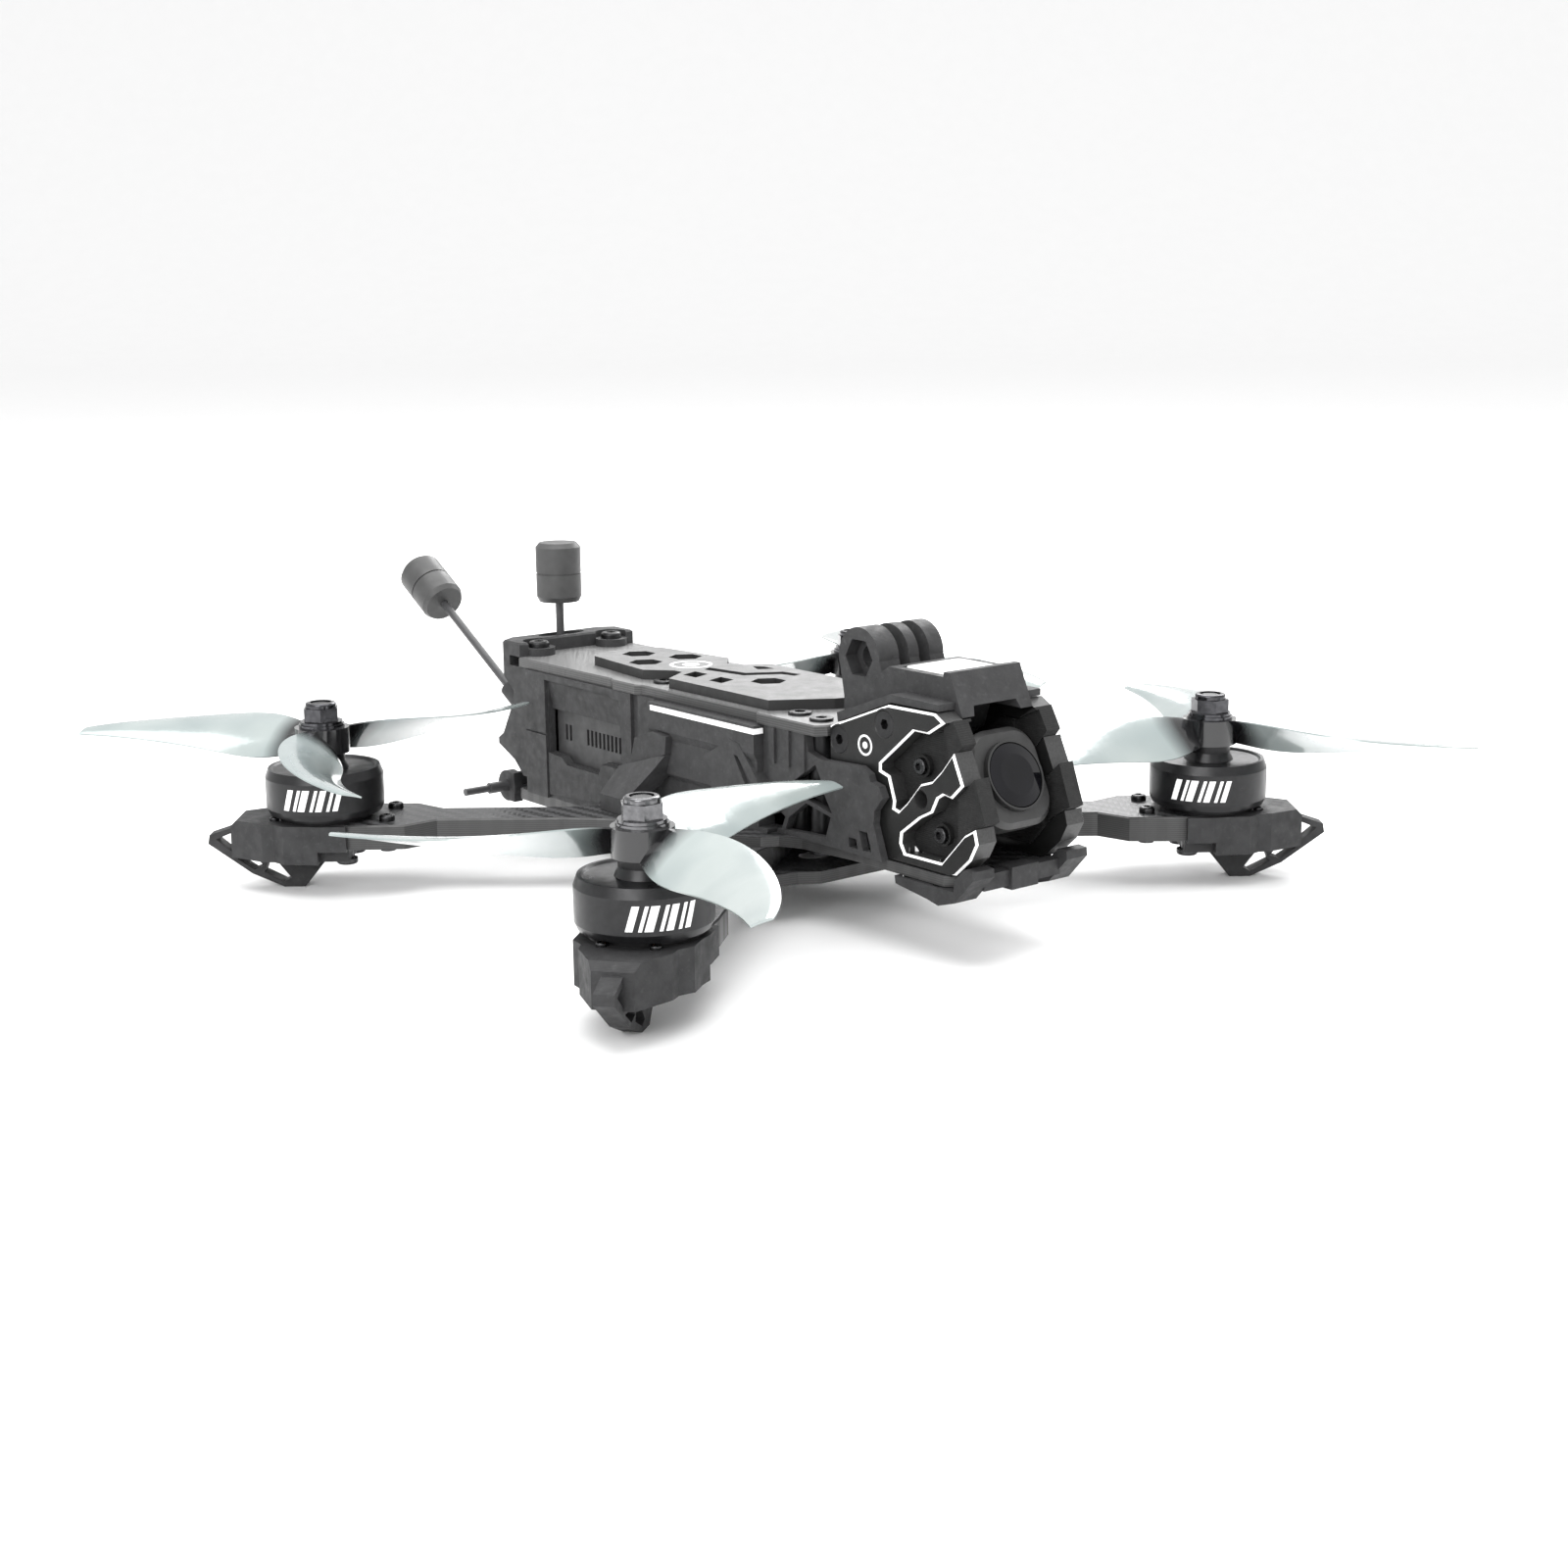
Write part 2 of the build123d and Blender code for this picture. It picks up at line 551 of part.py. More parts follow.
PANEL_GAPS = [
    [(-34.6, 25.2), (-41.2, 29.7), (-43.7, 25.8)],
    [(-37.8, 21.2), (-43.9, 24.0), (-47.1, 19.3)],
    [(-23.8, 15.6), (-28.2, 16.6), (-30.2, 15.7), (-28.8, 12.6), (-23.9, 12.6)],
    [(-31.4, 15.7), (-37.8, 20.2), (-46.6, 18.4), (-44.8, 13.4), (-30.2, 12.6)],
    [(-53.0, 12.8), (-52.8, 15.0), (-55.4, 15.0), (-56.0, 12.8)],
    [(-57.8, 12.8), (-56.4, 17.2), (-59.2, 17.2), (-60.8, 12.8)],
]
BULGE = (-22.3, 20.2)
BULGE_OUT = 21.5
LED_Z = 34.9
STACK_ROOM = (-20.6, 18.8)
STACK_WALL = 17.75          # inner face of the panel beside the circuit boards
LEG_TOP = [(26.7, 19.4), (24.5, 26.5), (17.1, 29.3), (11.1, 28.8), (11.8, 24.3)]
STRUT = [(-2.4, 26.0), (-13.1, 31.8), (-16.6, 31.2), (-29.0, 17.4), (-27.0, Z_FLOOR), (-20.0, Z_FLOOR),
         (-18.6, 18.2), (-5.5, 18.9), (-5.9, 23.4)]


def box(low, high, mode=Mode.ADD):
    """A block between two corners."""
    centre = tuple((a + b) / 2 for a, b in zip(low, high))
    with Locations(centre):
        Box(*(b - a for a, b in zip(low, high)), mode=mode)


with BuildPart() as brace:
    # a sloping leg, seen from the nose, trimmed to its outline seen from the side
    with BuildSketch(Plane.XZ.offset(-28)):
        with BuildLine():
            Polyline((BODY_HALF - 0.5, 25.5), (21.0, 25.5), (31.2, 13.2), (31.2, Z_DECK + GAP),
                     (30.2, Z_DECK + GAP), (30.2, Z_FLOOR + GAP), (26.4, Z_FLOOR + GAP),
                     (BODY_HALF - 0.5, 19.4), close=True)
        make_face()
    extrude(amount=16)
    add(slab([(26.6, 19.6), (11.9, 24.2), (13.6, 19.6), (19.4, 8.0), (27.6, 8.0), (27.6, 14.0)], PANEL_IN,
             32),
        mode=Mode.INTERSECT)

with BuildPart() as side_panel_left:
    add(slab(PANEL_OUTLINE, PANEL_IN, BODY_HALF))
    # the middle stands out to clear the electronics, and carries the light strip
    with BuildSketch(Plane.XZ.offset(-BULGE[1])):
        with BuildLine():
            Polyline((BODY_HALF - 0.5, 36.2), (BULGE_OUT, 36.2), (BULGE_OUT, 29.6), (20.6, 27.6),
                     (20.6, 19.0), (BODY_HALF - 0.5, 16.8), close=True)
        make_face()
    extrude(amount=BULGE[1] - BULGE[0])
    # rear corner column, window posts and the rail over the window
    box((BODY_HALF - 0.5, 69.6, BOTTOM_T), (19.6, 79.6, 36.4))
    box((BODY_HALF - 0.5, 30.2, 12.0), (19.6, 34.6, 36.4))
    box((BODY_HALF - 0.5, 20.2, 24.0), (19.6, 27.0, 36.4))
    add(slab([(69.6, 36.4), (34.6, 36.4), (34.6, 32.4), (39.8, 34.8), (69.6, 34.8)], BODY_HALF - 0.5, 19.6))
    # front column with two ribs, and the diagonal strut that lands on the front arm root
    box((BODY_HALF - 0.5, -38.0, 23.4), (19.2, -25.0, 36.4))
    for rib in (-27.4, -32.8):
        box((19.0, rib - 0.4, 28.0), (19.9, rib + 0.4, 36.4))
    add(slab(STRUT, BODY_HALF - 0.5, 21.6))
    add(slab([(-14.6, 28.4), (-16.0, 28.2), (-24.6, 18.6), (-23.6, 16.4), (-20.8, 18.8)], 20.6, 21.6),
        mode=Mode.SUBTRACT)
    # the raised block and the leg that braces the panel on the rear arm
    add(slab(LEG_TOP, BODY_HALF - 0.5, 22.6))
    add(brace.part)
    # hollows: room for the electronics, the vent window, front lightening gaps
    box((PANEL_IN - 1, STACK_ROOM[0], Z_FLOOR - 1), (STACK_WALL, STACK_ROOM[1], 34.0), mode=Mode.SUBTRACT)
    box((PANEL_IN - 1, STACK_ROOM[0], 21.0), (STACK_WALL + 1.8, STACK_ROOM[1], 34.0), mode=Mode.SUBTRACT)
    with BuildSketch(Plane.XZ.offset(-WINDOW_REACH[1])):
        with BuildLine():
            Polyline(*WINDOW_SLOPE, close=True)
        make_face()
    extrude(amount=WINDOW_REACH[1] - WINDOW_REACH[0], mode=Mode.SUBTRACT)
    add(slab(VENT_WINDOW, PANEL_IN - 1, BODY_HALF + 2), mode=Mode.SUBTRACT)
    for gap in PANEL_GAPS:
        add(slab(gap, PANEL_IN - 1, BODY_HALF + 4), mode=Mode.SUBTRACT)
    # the cover under the window stands proud of the panel
    add(slab(WINDOW_COVER, PANEL_IN, COVER_OUT))
    # seam of the rear column, groove of the light strip
    box((19.2, 66.0, 19.9), (20.6, 80.0, 20.4), mode=Mode.SUBTRACT)
    box((BULGE_OUT - 0.6, BULGE[0] - 1, LED_Z - 0.7), (BULGE_OUT + 1, 18.9, LED_Z + 0.7), mode=Mode.SUBTRACT)
    box((BODY_HALF + 0.3, BULGE[0] - 1, LED_Z - 0.7), (BULGE_OUT + 1, BULGE[0] + 0.1, LED_Z + 0.7),
        mode=Mode.SUBTRACT)
save(side_panel_left.part, "side_panel_left")

with BuildPart() as side_panel_right:
    mirror(side_panel_left.part, about=Plane.YZ)
save(side_panel_right.part, "side_panel_right")

with BuildPart() as led_strips:
    box((BULGE_OUT - 0.55, BULGE[0] + 0.05, LED_Z - 0.62), (BULGE_OUT + 0.25, 18.8, LED_Z + 0.62))
    box((BODY_HALF + 0.4, BULGE[0] - 0.35, LED_Z - 0.62), (BULGE_OUT + 0.25, BULGE[0] + 0.05, LED_Z + 0.62))
    mirror(about=Plane.YZ)
save(led_strips.part, "led_strips")

# ---- video transmitter --------------------------------------------------------------------------
VIDEO_Y = (38.2, 69.6)
VIDEO_X = 16.4
VENT_Y = [64.3, 62.4] + [54.3 - 1.82 * i for i in range(9)]

with BuildPart() as video_unit:
    box((-VIDEO_X, VIDEO_Y[0], 5.0), (VIDEO_X, VIDEO_Y[1], 30.0))
    fillet(video_unit.edges().filter_by(Axis.Z), 1.6)
    chamfer(video_unit.edges().group_by(Axis.Z)[-1], 0.8)
    with BuildSketch(side_plane(-VIDEO_X)):
        for y in VENT_Y:
            with Locations((y, 21.2)):
                Rectangle(1.0, 4.2)
    extrude(amount=2.0, mode=Mode.SUBTRACT)
    with BuildSketch(side_plane(VIDEO_X)):
        for y in VENT_Y:
            with Locations((y, 21.2)):
                Rectangle(1.0, 4.2)
    extrude(amount=-2.0, mode=Mode.SUBTRACT)
    with BuildSketch(Plane.XY.offset(30.0)):
        for x in range(-12, 13, 4):
            with Locations((x, sum(VIDEO_Y) / 2)):
                Rectangle(1.6, 26)
    extrude(amount=-3.0, mode=Mode.SUBTRACT)
save(video_unit.part, "video_unit")

# ---- rear cover with the video antennas ------------------------------------------------------------
CAP_TOP = 42.7
STEM_R = 1.1
CAP_R = 6.1
UPRIGHT = (0, 91.2)
RAKE_START = (-14.6, 90.4, 26.2)
RAKE = radians(30.5)
rake_dir = (0, cos(RAKE), sin(RAKE))
UPRIGHT_CAP = (51.6, 67.6)          # low and high end of the antenna caps
RAKED_CAP = (43.5, 59.5)


def rake_plane(distance):
    """A plane across the raked antenna, at a distance along it."""
    x, y, z = RAKE_START
    return Plane(origin=(x, y + distance * rake_dir[1], z + distance * rake_dir[2]), x_dir=(1, 0, 0),
                 z_dir=rake_dir)


REAR_CHEEK = [(79.9, 6.6), (79.9, 36.3), (91.4, 36.3), (91.4, 33.0), (86.6, 29.4), (87.1, 26.5), (92.7, 17.0),
              (95.2, 15.4), (95.2, 13.8), (87.4, 10.4), (83.2, 6.6)]
REAR_OUT = 18.4
REAR_SHELL = 2.4            # thickness of the cheeks
REAR_WALL_Y = 86.8          # inner face of the back wall, behind the posts
REAR_BLOCKS = [(REAR_OUT, 91.4), (14.0, 94.2)]
REAR_CAP = [(-REAR_OUT, 83.0), (-REAR_OUT, 91.4), (-14.0, 94.2), (14.0, 94.2), (REAR_OUT, 91.4),
            (REAR_OUT, 83.0), (14.6, 82.4), (9.4, 86.6), (-9.4, 86.6), (-14.6, 82.4)]
EAR_R = 4.3
EAR_TOP = 41.0
RECESS = (7.2, 2.6)         # half-lengths of the oval round the upright antenna
RECESS_DEPTH = 0.7

with BuildPart() as rear_antenna_mount:
    add(slab(REAR_CHEEK, -REAR_OUT, REAR_OUT))
    box((-REAR_OUT + REAR_SHELL, 79, 6.0), (REAR_OUT - REAR_SHELL, REAR_WALL_Y, 36.4), mode=Mode.SUBTRACT)
    with BuildSketch(Plane.XY.offset(Z_PAD)):
        with BuildLine():
            Polyline(*REAR_CAP, close=True)
        make_face()
    extrude(amount=CAP_TOP - Z_PAD)
    for half, back in REAR_BLOCKS:
        box((-half, 88.0 + GAP, 33.0), (half, back, Z_PAD))
    chamfer(rear_antenna_mount.edges().group_by(Axis.Z)[-1], 0.5)
    with BuildSketch(Plane.XY.offset(Z_PAD)):
        with Locations(*mirrored([REAR_POST])):
            Circle(EAR_R)
    extrude(amount=EAR_TOP - Z_PAD)
    with BuildSketch(Plane.XY.offset(EAR_TOP)):
        with Locations(*mirrored([REAR_POST])):
            Circle(EAR_R)
    extrude(amount=4, mode=Mode.SUBTRACT)
    with BuildSketch(Plane.XY.offset(Z_PAD)):
        with Locations(*mirrored([REAR_POST])):
            Circle(SCREW_R + FIT)
    extrude(amount=3, mode=Mode.SUBTRACT)
    # oval recess round the upright antenna
    with BuildSketch(Plane.XY.offset(CAP_TOP)):
        with Locations((UPRIGHT[0], UPRIGHT[1] - 0.4)):
            Ellipse(*RECESS)
    extrude(amount=-RECESS_DEPTH, mode=Mode.SUBTRACT)
    add(rod(rake_plane(-2.0), 2.6, 7.0))
    add(rod(Plane(origin=(UPRIGHT[0], UPRIGHT[1], 34.0), z_dir=(0, 0, 1)), STEM_R + FIT, 20),
        mode=Mode.SUBTRACT)
    add(rod(rake_plane(-8.0), STEM_R + FIT, 20), mode=Mode.SUBTRACT)
save(rear_antenna_mount.part, "rear_antenna_mount")

with BuildPart() as antenna_stems:
    add(rod(Plane(origin=(UPRIGHT[0], UPRIGHT[1], 36.0), z_dir=(0, 0, 1)), STEM_R, UPRIGHT_CAP[1] - 36.0 - 4))
    add(rod(rake_plane(-4.0), STEM_R, RAKED_CAP[1]))
save(antenna_stems.part, "antenna_stems")


def antenna_cap(base_plane, length):
    """The round cover of a circular-polarised antenna, with a seam, hollow for its element."""
    with BuildPart() as cap:
        with BuildSketch(base_plane):
            Circle(CAP_R - 0.7)
        with BuildSketch(base_plane.offset(1.4)):
            Circle(CAP_R)
        loft(ruled=True)
        with BuildSketch(base_plane.offset(1.4)):
            Circle(CAP_R)
        extrude(amount=length - 2.6)
        with BuildSketch(base_plane.offset(length - 1.2)):
            Circle(CAP_R)
        with BuildSketch(base_plane.offset(length)):
            Circle(CAP_R - 1.0)
        loft(ruled=True)
        with BuildSketch(base_plane.offset(length * 0.47)):
            Circle(CAP_R + 1)
            Circle(CAP_R - 0.25, mode=Mode.SUBTRACT)
        extrude(amount=0.45, mode=Mode.SUBTRACT)
        with BuildSketch(base_plane):
            Circle(STEM_R + FIT)
        extrude(amount=length - 3.0, mode=Mode.SUBTRACT)
    return cap.part


save(antenna_cap(Plane(origin=(UPRIGHT[0], UPRIGHT[1], UPRIGHT_CAP[0]), z_dir=(0, 0, 1)),
                 UPRIGHT_CAP[1] - UPRIGHT_CAP[0]), "upright_antenna_cap")
save(antenna_cap(rake_plane(RAKED_CAP[0]), RAKED_CAP[1] - RAKED_CAP[0]), "raked_antenna_cap")

# ---- control receiver, its antenna and holder ------------------------------------------------------
ROD_Y = 92.0
ROD_Z = 2.4
with BuildPart() as receiver_antenna:
    add(rod(Plane(origin=(-31.5, ROD_Y, ROD_Z), z_dir=(1, 0, 0)), 1.0, 63.0))
    add(rod(Plane(origin=(-24.0, ROD_Y, ROD_Z), z_dir=(1, 0, 0)), 1.5, 48.0))
save(receiver_antenna.part, "receiver_antenna")

with BuildPart() as receiver_antenna_holder:
    box((-18.4, 88.0 + GAP, -0.4), (18.4, 90.0, 6.4))
    box((-8.0, 80.5, BOTTOM_T), (8.0, 89.0, 4.6))
    for low in (-18.4, 15.8):
        with BuildSketch(side_plane(low)):
            with Locations((ROD_Y, ROD_Z)):
                Circle(4.2)
            with Locations((90.1, ROD_Z)):
                Rectangle(3.9, 8.0)
        extrude(amount=2.6)
    with BuildSketch(side_plane(-20)):
        with Locations((ROD_Y, ROD_Z)):
            Circle(1.5 + FIT)
    extrude(amount=40, mode=Mode.SUBTRACT)
save(receiver_antenna_holder.part, "receiver_antenna_holder")

with BuildPart() as receiver_board:
    box((-6.5, 70.4, BOTTOM_T), (6.5, 80.0, BOTTOM_T + 1.2))
    box((-4.0, 71.8, BOTTOM_T + 1.2), (4.0, 78.5, BOTTOM_T + 2.6))
save(receiver_board.part, "receiver_board")

# ---- nose bumper --------------------------------------------------------------------------------
BUMPER = [(-67.1, 8.8), (-67.4, 7.0), (-77.6, 5.6), (-81.3, 4.8), (-86.6, 6.4), (-92.2, 12.4), (-92.0, 14.2),
          (-89.4, 14.4), (-86.3, 11.3), (-86.3, 8.8)]

with BuildPart() as nose_bumper:
    add(slab(BUMPER, 11.0, 17.4))
    mirror(about=Plane.YZ)
    box((-11.5, -89.6, 8.6), (11.5, -86.2, 12.2))
    box((-4.0, -90.4, 7.8), (4.0, -86.2, 12.8))
    for x in (-(CAGE_OUT + CAGE_IN) / 2, (CAGE_OUT + CAGE_IN) / 2):
        for y in CAGE_FEET:
            with BuildSketch(Plane.XY.offset(4)):
                with Locations((x, y)):
                    Circle(3.2)
            extrude(amount=5, mode=Mode.SUBTRACT)
save(nose_bumper.part, "nose_bumper")

# ---- electronics between the plates --------------------------------------------------------------
BOARD_HALF = 17.4
ESC_Z = 15.5
FC_Z = 22.5
BOARD_T = 1.6


def board(z):
    """A square circuit board with its four mounting holes and its main chips."""
    with BuildPart() as card:
        with BuildSketch(Plane.XY.offset(z)):
            RectangleRounded(2 * BOARD_HALF, 2 * BOARD_HALF, 3)
            with Locations(*STACK_HOLES):
                Circle(SCREW_R + FIT, mode=Mode.SUBTRACT)
        extrude(amount=BOARD_T)
        for x, y, wide in ((0, 0, 7), (-9, 6, 5), (9, 6, 5), (-9, -6, 5), (9, -6, 5)):
            box((x - wide / 2, y - wide / 2, z + BOARD_T), (x + wide / 2, y + wide / 2, z + BOARD_T + 1.0))
        box((-4, -18.0, z + BOARD_T), (4, -14.5, z + BOARD_T + 2.6))
    return card.part


save(board(ESC_Z), "esc_board")
save(board(FC_Z), "flight_controller")

with BuildPart() as stack_spacers:
    for low, high in ((Z_FLOOR, ESC_Z), (ESC_Z + BOARD_T, FC_Z), (FC_Z + BOARD_T, FC_Z + BOARD_T + 2.4)):
        with BuildSketch(Plane.XY.offset(low)):
            with Locations(*STACK_HOLES):
                Circle(2.2)
                Circle(SCREW_R + FIT, mode=Mode.SUBTRACT)
        extrude(amount=high - low)
save(stack_spacers.part, "stack_spacers")

with BuildPart() as capacitor:
    add(rod(Plane(origin=(-8.6, -30.0, Z_FLOOR + 5.1), z_dir=(1, 0, 0)), 5.0, 17.2))
    fillet(capacitor.edges().filter_by(GeomType.CIRCLE), 0.8)
save(capacitor.part, "capacitor")

# ---- motor guards -------------------------------------------------------------------------------
GUARD_LOW = -0.5
GUARD_HALF = [(-7, 13.6), (-0.5, 13.6), (3.5, 12.8), (8.4, 12.6), (11.2, 10.0), (14.2, 9.6), (22.8, 4.4)]
FIN = [(22.6, 6.6), (28.6, 4.6), (29.0, 2.4), (18.6, -5.2), (10.8, FOOT_Z), (5.7, FOOT_Z), (-0.6, -1.0),
       (-0.6, 0.5), (22.6, 0.5)]
FIN_WINDOWS = [
    [(22.9, 5.2), (27.0, 3.5), (22.9, 0.0)],
    [(17.2, -1.4), (22.2, -1.4), (18.0, -4.3), (15.6, -3.4)],
    [(14.4, -1.8), (12.6, -1.8), (9.0, -6.4), (10.8, -7.4), (15.6, -4.9)],
]
FIN_HALF = 2.2
BELL_SIDE_SCREWS = [(11.6, 5.6), (11.6, -5.6)]


def motor_guard(corner):
    """The flexible shoe on an arm's end, with the pierced fin that the drone stands on."""
    outline = GUARD_HALF + [(u, -v) for u, v in reversed(GUARD_HALF)]
    level = outward_plane(corner, ARM_LENGTH, GUARD_LOW)
    radial = Plane(origin=level.origin - Vector(0, 0, GUARD_LOW), x_dir=level.x_dir,
                   z_dir=level.x_dir.cross(Vector(0, 0, 1)))
    with BuildPart() as shoe:
        with BuildSketch(level):
            with BuildLine():
                Polyline(*outline, close=True)
            make_face()
        extrude(amount=Z_DECK - GUARD_LOW)
        with BuildSketch(radial.offset(-30)):
            with BuildLine():
                Polyline((20.6, 9.5), (24.0, 9.5), (24.0, 6.2), close=True)
            make_face()
        extrude(amount=60, mode=Mode.SUBTRACT)
        # the skirt steps up beside the arm
        with BuildSketch(level):
            with Locations((-4.5, 12.2), (-4.5, -12.2)):
                Rectangle(9.0, 4.4)
        extrude(amount=3.2, mode=Mode.SUBTRACT)
        with BuildSketch(radial.offset(-FIN_HALF)):
            with BuildLine():
                Polyline(*FIN, close=True)
            make_face()
            for window in FIN_WINDOWS:
                with BuildLine():
                    Polyline(*window, close=True)
                make_face(mode=Mode.SUBTRACT)
        extrude(amount=2 * FIN_HALF)
        with BuildSketch(level.offset(Z_ARM - GUARD_LOW)):
            Circle(ARM_PAD_R + GAP)
            with BuildLine():
                Polyline((-14, 12.6), (-12, 12.6), (0, ARM_PAD_R + GAP), (0, -ARM_PAD_R - GAP), (-12, -12.6),
                         (-14, -12.6), close=True)
            make_face()
        extrude(amount=ARM_T + 1, mode=Mode.SUBTRACT)
        with BuildSketch(level):
            Circle(3.2)
            with PolarLocations(MOTOR_PATTERN / 2, 4, start_angle=45):
                Circle(SCREW_R + FIT)
            with Locations(*BELL_SIDE_SCREWS):
                Circle(0.7 + FIT)
        extrude(amount=Z_DECK - GUARD_LOW, mode=Mode.SUBTRACT)
    return shoe.part


for corner in CORNERS:
    save(motor_guard(corner), f"motor_guard_{corner}")

# ---- motors: fixed base and core, turning bell -----------------------------------------------------
BASE_TOP = 10.0
TUBE_R = 4.6
BEARING_R = 4.0
SHAFT_LOW_R = 2.0
STATOR_R = 11.0
STATOR_Z = (12.0, 18.8)
TEETH = 12
MAGNETS = 14
CROWN_OPENINGS = 5


def motor_base(corner):
    """The fixed base with its bearing tube, and the two ball bearings pressed into it."""
    level = outward_plane(corner, ARM_LENGTH, Z_DECK)
    with BuildPart() as base:
        with BuildSketch(level):
            Circle(11.4)
            with PolarLocations(MOTOR_PATTERN / 2, 4, start_angle=45):
                Circle(SCREW_R + FIT, mode=Mode.SUBTRACT)
            with PolarLocations(MOTOR_PATTERN / 2 + 0.6, 4):
                SlotOverall(4.4, 2.4, mode=Mode.SUBTRACT)
        extrude(amount=BASE_TOP - Z_DECK)
        with BuildSketch(level):
            Circle(TUBE_R)
        extrude(amount=19.2 - Z_DECK)
        with BuildSketch(level):
            Circle(BEARING_R)
        extrude(amount=19.2 - Z_DECK, mode=Mode.SUBTRACT)
        for low in (Z_DECK + 0.6, 16.4):
            with BuildSketch(Plane(origin=(level.origin.X, level.origin.Y, low), z_dir=(0, 0, 1))):
                Circle(BEARING_R)
                Circle(SHAFT_LOW_R + FIT, mode=Mode.SUBTRACT)
            extrude(amount=2.6, mode=Mode.ADD)
    return base.part


with BuildPart() as stator_cores:
    for corner in CORNERS:
        sx, sy = CORNERS[corner]
        with BuildSketch(Plane(origin=(sx * MOTOR_X, sy * MOTOR_Y, STATOR_Z[0]), z_dir=(0, 0, 1))):
            Circle(6.4)
            with PolarLocations(7.8, TEETH):
                Rectangle(4.4, 1.8)
            with PolarLocations(STATOR_R - 1.0, TEETH):
                Rectangle(1.6, 4.2)
            Circle(TUBE_R, mode=Mode.SUBTRACT)
        extrude(amount=STATOR_Z[1] - STATOR_Z[0])
save(stator_cores.part, "stator_cores")


def bell(corner):
    """The turning bell: rim with magnets, pierced crown, hub and shaft."""
    sx, sy = CORNERS[corner]
    x, y = sx * MOTOR_X, sy * MOTOR_Y
    section = Plane(origin=(x, y, 0), x_dir=(1, 0, 0), z_dir=(0, -1, 0))
    with BuildPart() as can:
        with BuildSketch(section):
            with BuildLine():
                Polyline((12.9, BELL_LOW), (13.6, BELL_LOW), (BELL_R, BELL_LOW + 1.6), (BELL_R, 19.4),
                         (13.5, BELL_TOP), (12.7, BELL_TOP), (12.2, 21.0), (6.0, 21.0), (5.2, 23.0),
                         (5.2, HUB_LOW), (0, HUB_LOW), (0, 19.5), (11.6, 19.5), (12.9, 18.9), close=True)
            make_face()
        revolve(axis=Axis((x, y, 0), (0, 0, 1)))
        with BuildSketch(Plane(origin=(x, y, 19), z_dir=(0, 0, 1))):
            for opening in range(CROWN_OPENINGS):
                SlotArc(CenterArc((0, 0), 8.9, opening * 360 / CROWN_OPENINGS, 32), height=4.8)
        extrude(amount=3, mode=Mode.SUBTRACT)
        with BuildSketch(Plane(origin=(x, y, STATOR_Z[0] - 0.3), z_dir=(0, 0, 1))):
            with PolarLocations(12.3, MAGNETS):
                Rectangle(1.6, 4.2)
        extrude(amount=STATOR_Z[1] - STATOR_Z[0])
        add(rod(Plane(origin=(x, y, Z_DECK + 0.8), z_dir=(0, 0, 1)), SHAFT_LOW_R, 12))
        add(rod(Plane(origin=(x, y, HUB_LOW - 1), z_dir=(0, 0, 1)), SHAFT_R, 13.0))
        chamfer(can.edges().group_by(Axis.Z)[-1], 0.4)
    return can.part


# ---- propellers ---------------------------------------------------------------------------------
# radius, chord, pitch in degrees, forward sweep and height of each blade section
BLADE_SECTIONS = [
    (3.5, 8.0, 46, 0.0, 28.0),
    (9.0, 11.0, 42, 0.6, 27.9),
    (17.0, 15.2, 34, 2.4, 27.6),
    (28.0, 15.6, 27, 3.9, 27.6),
    (40.0, 13.2, 21, 3.4, 27.7),
    (52.0, 9.8, 17, 1.0, 27.8),
    (60.0, 7.0, 14, -1.8, 27.8),
    (PROP_RADIUS, 4.6, 12, -4.0, 27.7),
]
EDGE_T = 0.35
PROP_HUB_R = 6.6


def propeller():
    """A three-bladed scimitar propeller that turns counter-clockwise, its first blade along +X."""
    with BuildPart() as screw:
        for radius, chord, pitch, sweep, height in BLADE_SECTIONS:
            turn = radians(pitch)
            half = chord / 2
            thick = 0.35 + 0.062 * chord
            camber = 0.05 * chord
            across = Plane(origin=(radius, sweep, height), x_dir=(0, cos(turn), sin(turn)), z_dir=(1, 0, 0))
            with BuildSketch(across):
                with BuildLine():
                    Spline((-half, EDGE_T / 2), (-half * 0.2, camber + thick / 2),
                           (half * 0.5, camber * 0.8 + thick / 2), (half, EDGE_T / 2))
                    Line((half, EDGE_T / 2), (half, -EDGE_T / 2))
                    Spline((half, -EDGE_T / 2), (half * 0.5, camber * 0.8 - thick / 2),
                           (-half * 0.2, camber - thick / 2), (-half, -EDGE_T / 2))
                    Line((-half, -EDGE_T / 2), (-half, EDGE_T / 2))
                make_face()
        loft()
        blade = screw.part
    with BuildPart() as whole:
        with PolarLocations(0, 3):
            add(blade)
        # the blade roots end level with the underside of the hub, clear of the bell
        with BuildSketch(Plane.XY.offset(HUB_LOW)):
            Circle(PROP_HUB_R)
        extrude(amount=-HUB_LOW + BELL_TOP, mode=Mode.SUBTRACT)
        with BuildSketch(Plane.XY.offset(HUB_LOW)):
            Circle(PROP_HUB_R)
        extrude(amount=HUB_TOP - HUB_LOW)
        with BuildSketch(Plane.XY.offset(HUB_LOW - 1)):
            Circle(SHAFT_R + FIT)
        extrude(amount=HUB_TOP - HUB_LOW + 2, mode=Mode.SUBTRACT)
        with BuildSketch(Plane.XY.offset(HUB_LOW)):
            with PolarLocations(4.6, 3, start_angle=60):
                Circle(0.9)
        extrude(amount=2.5, mode=Mode.SUBTRACT)
    return whole.part


NUT_FLAT = 8.0


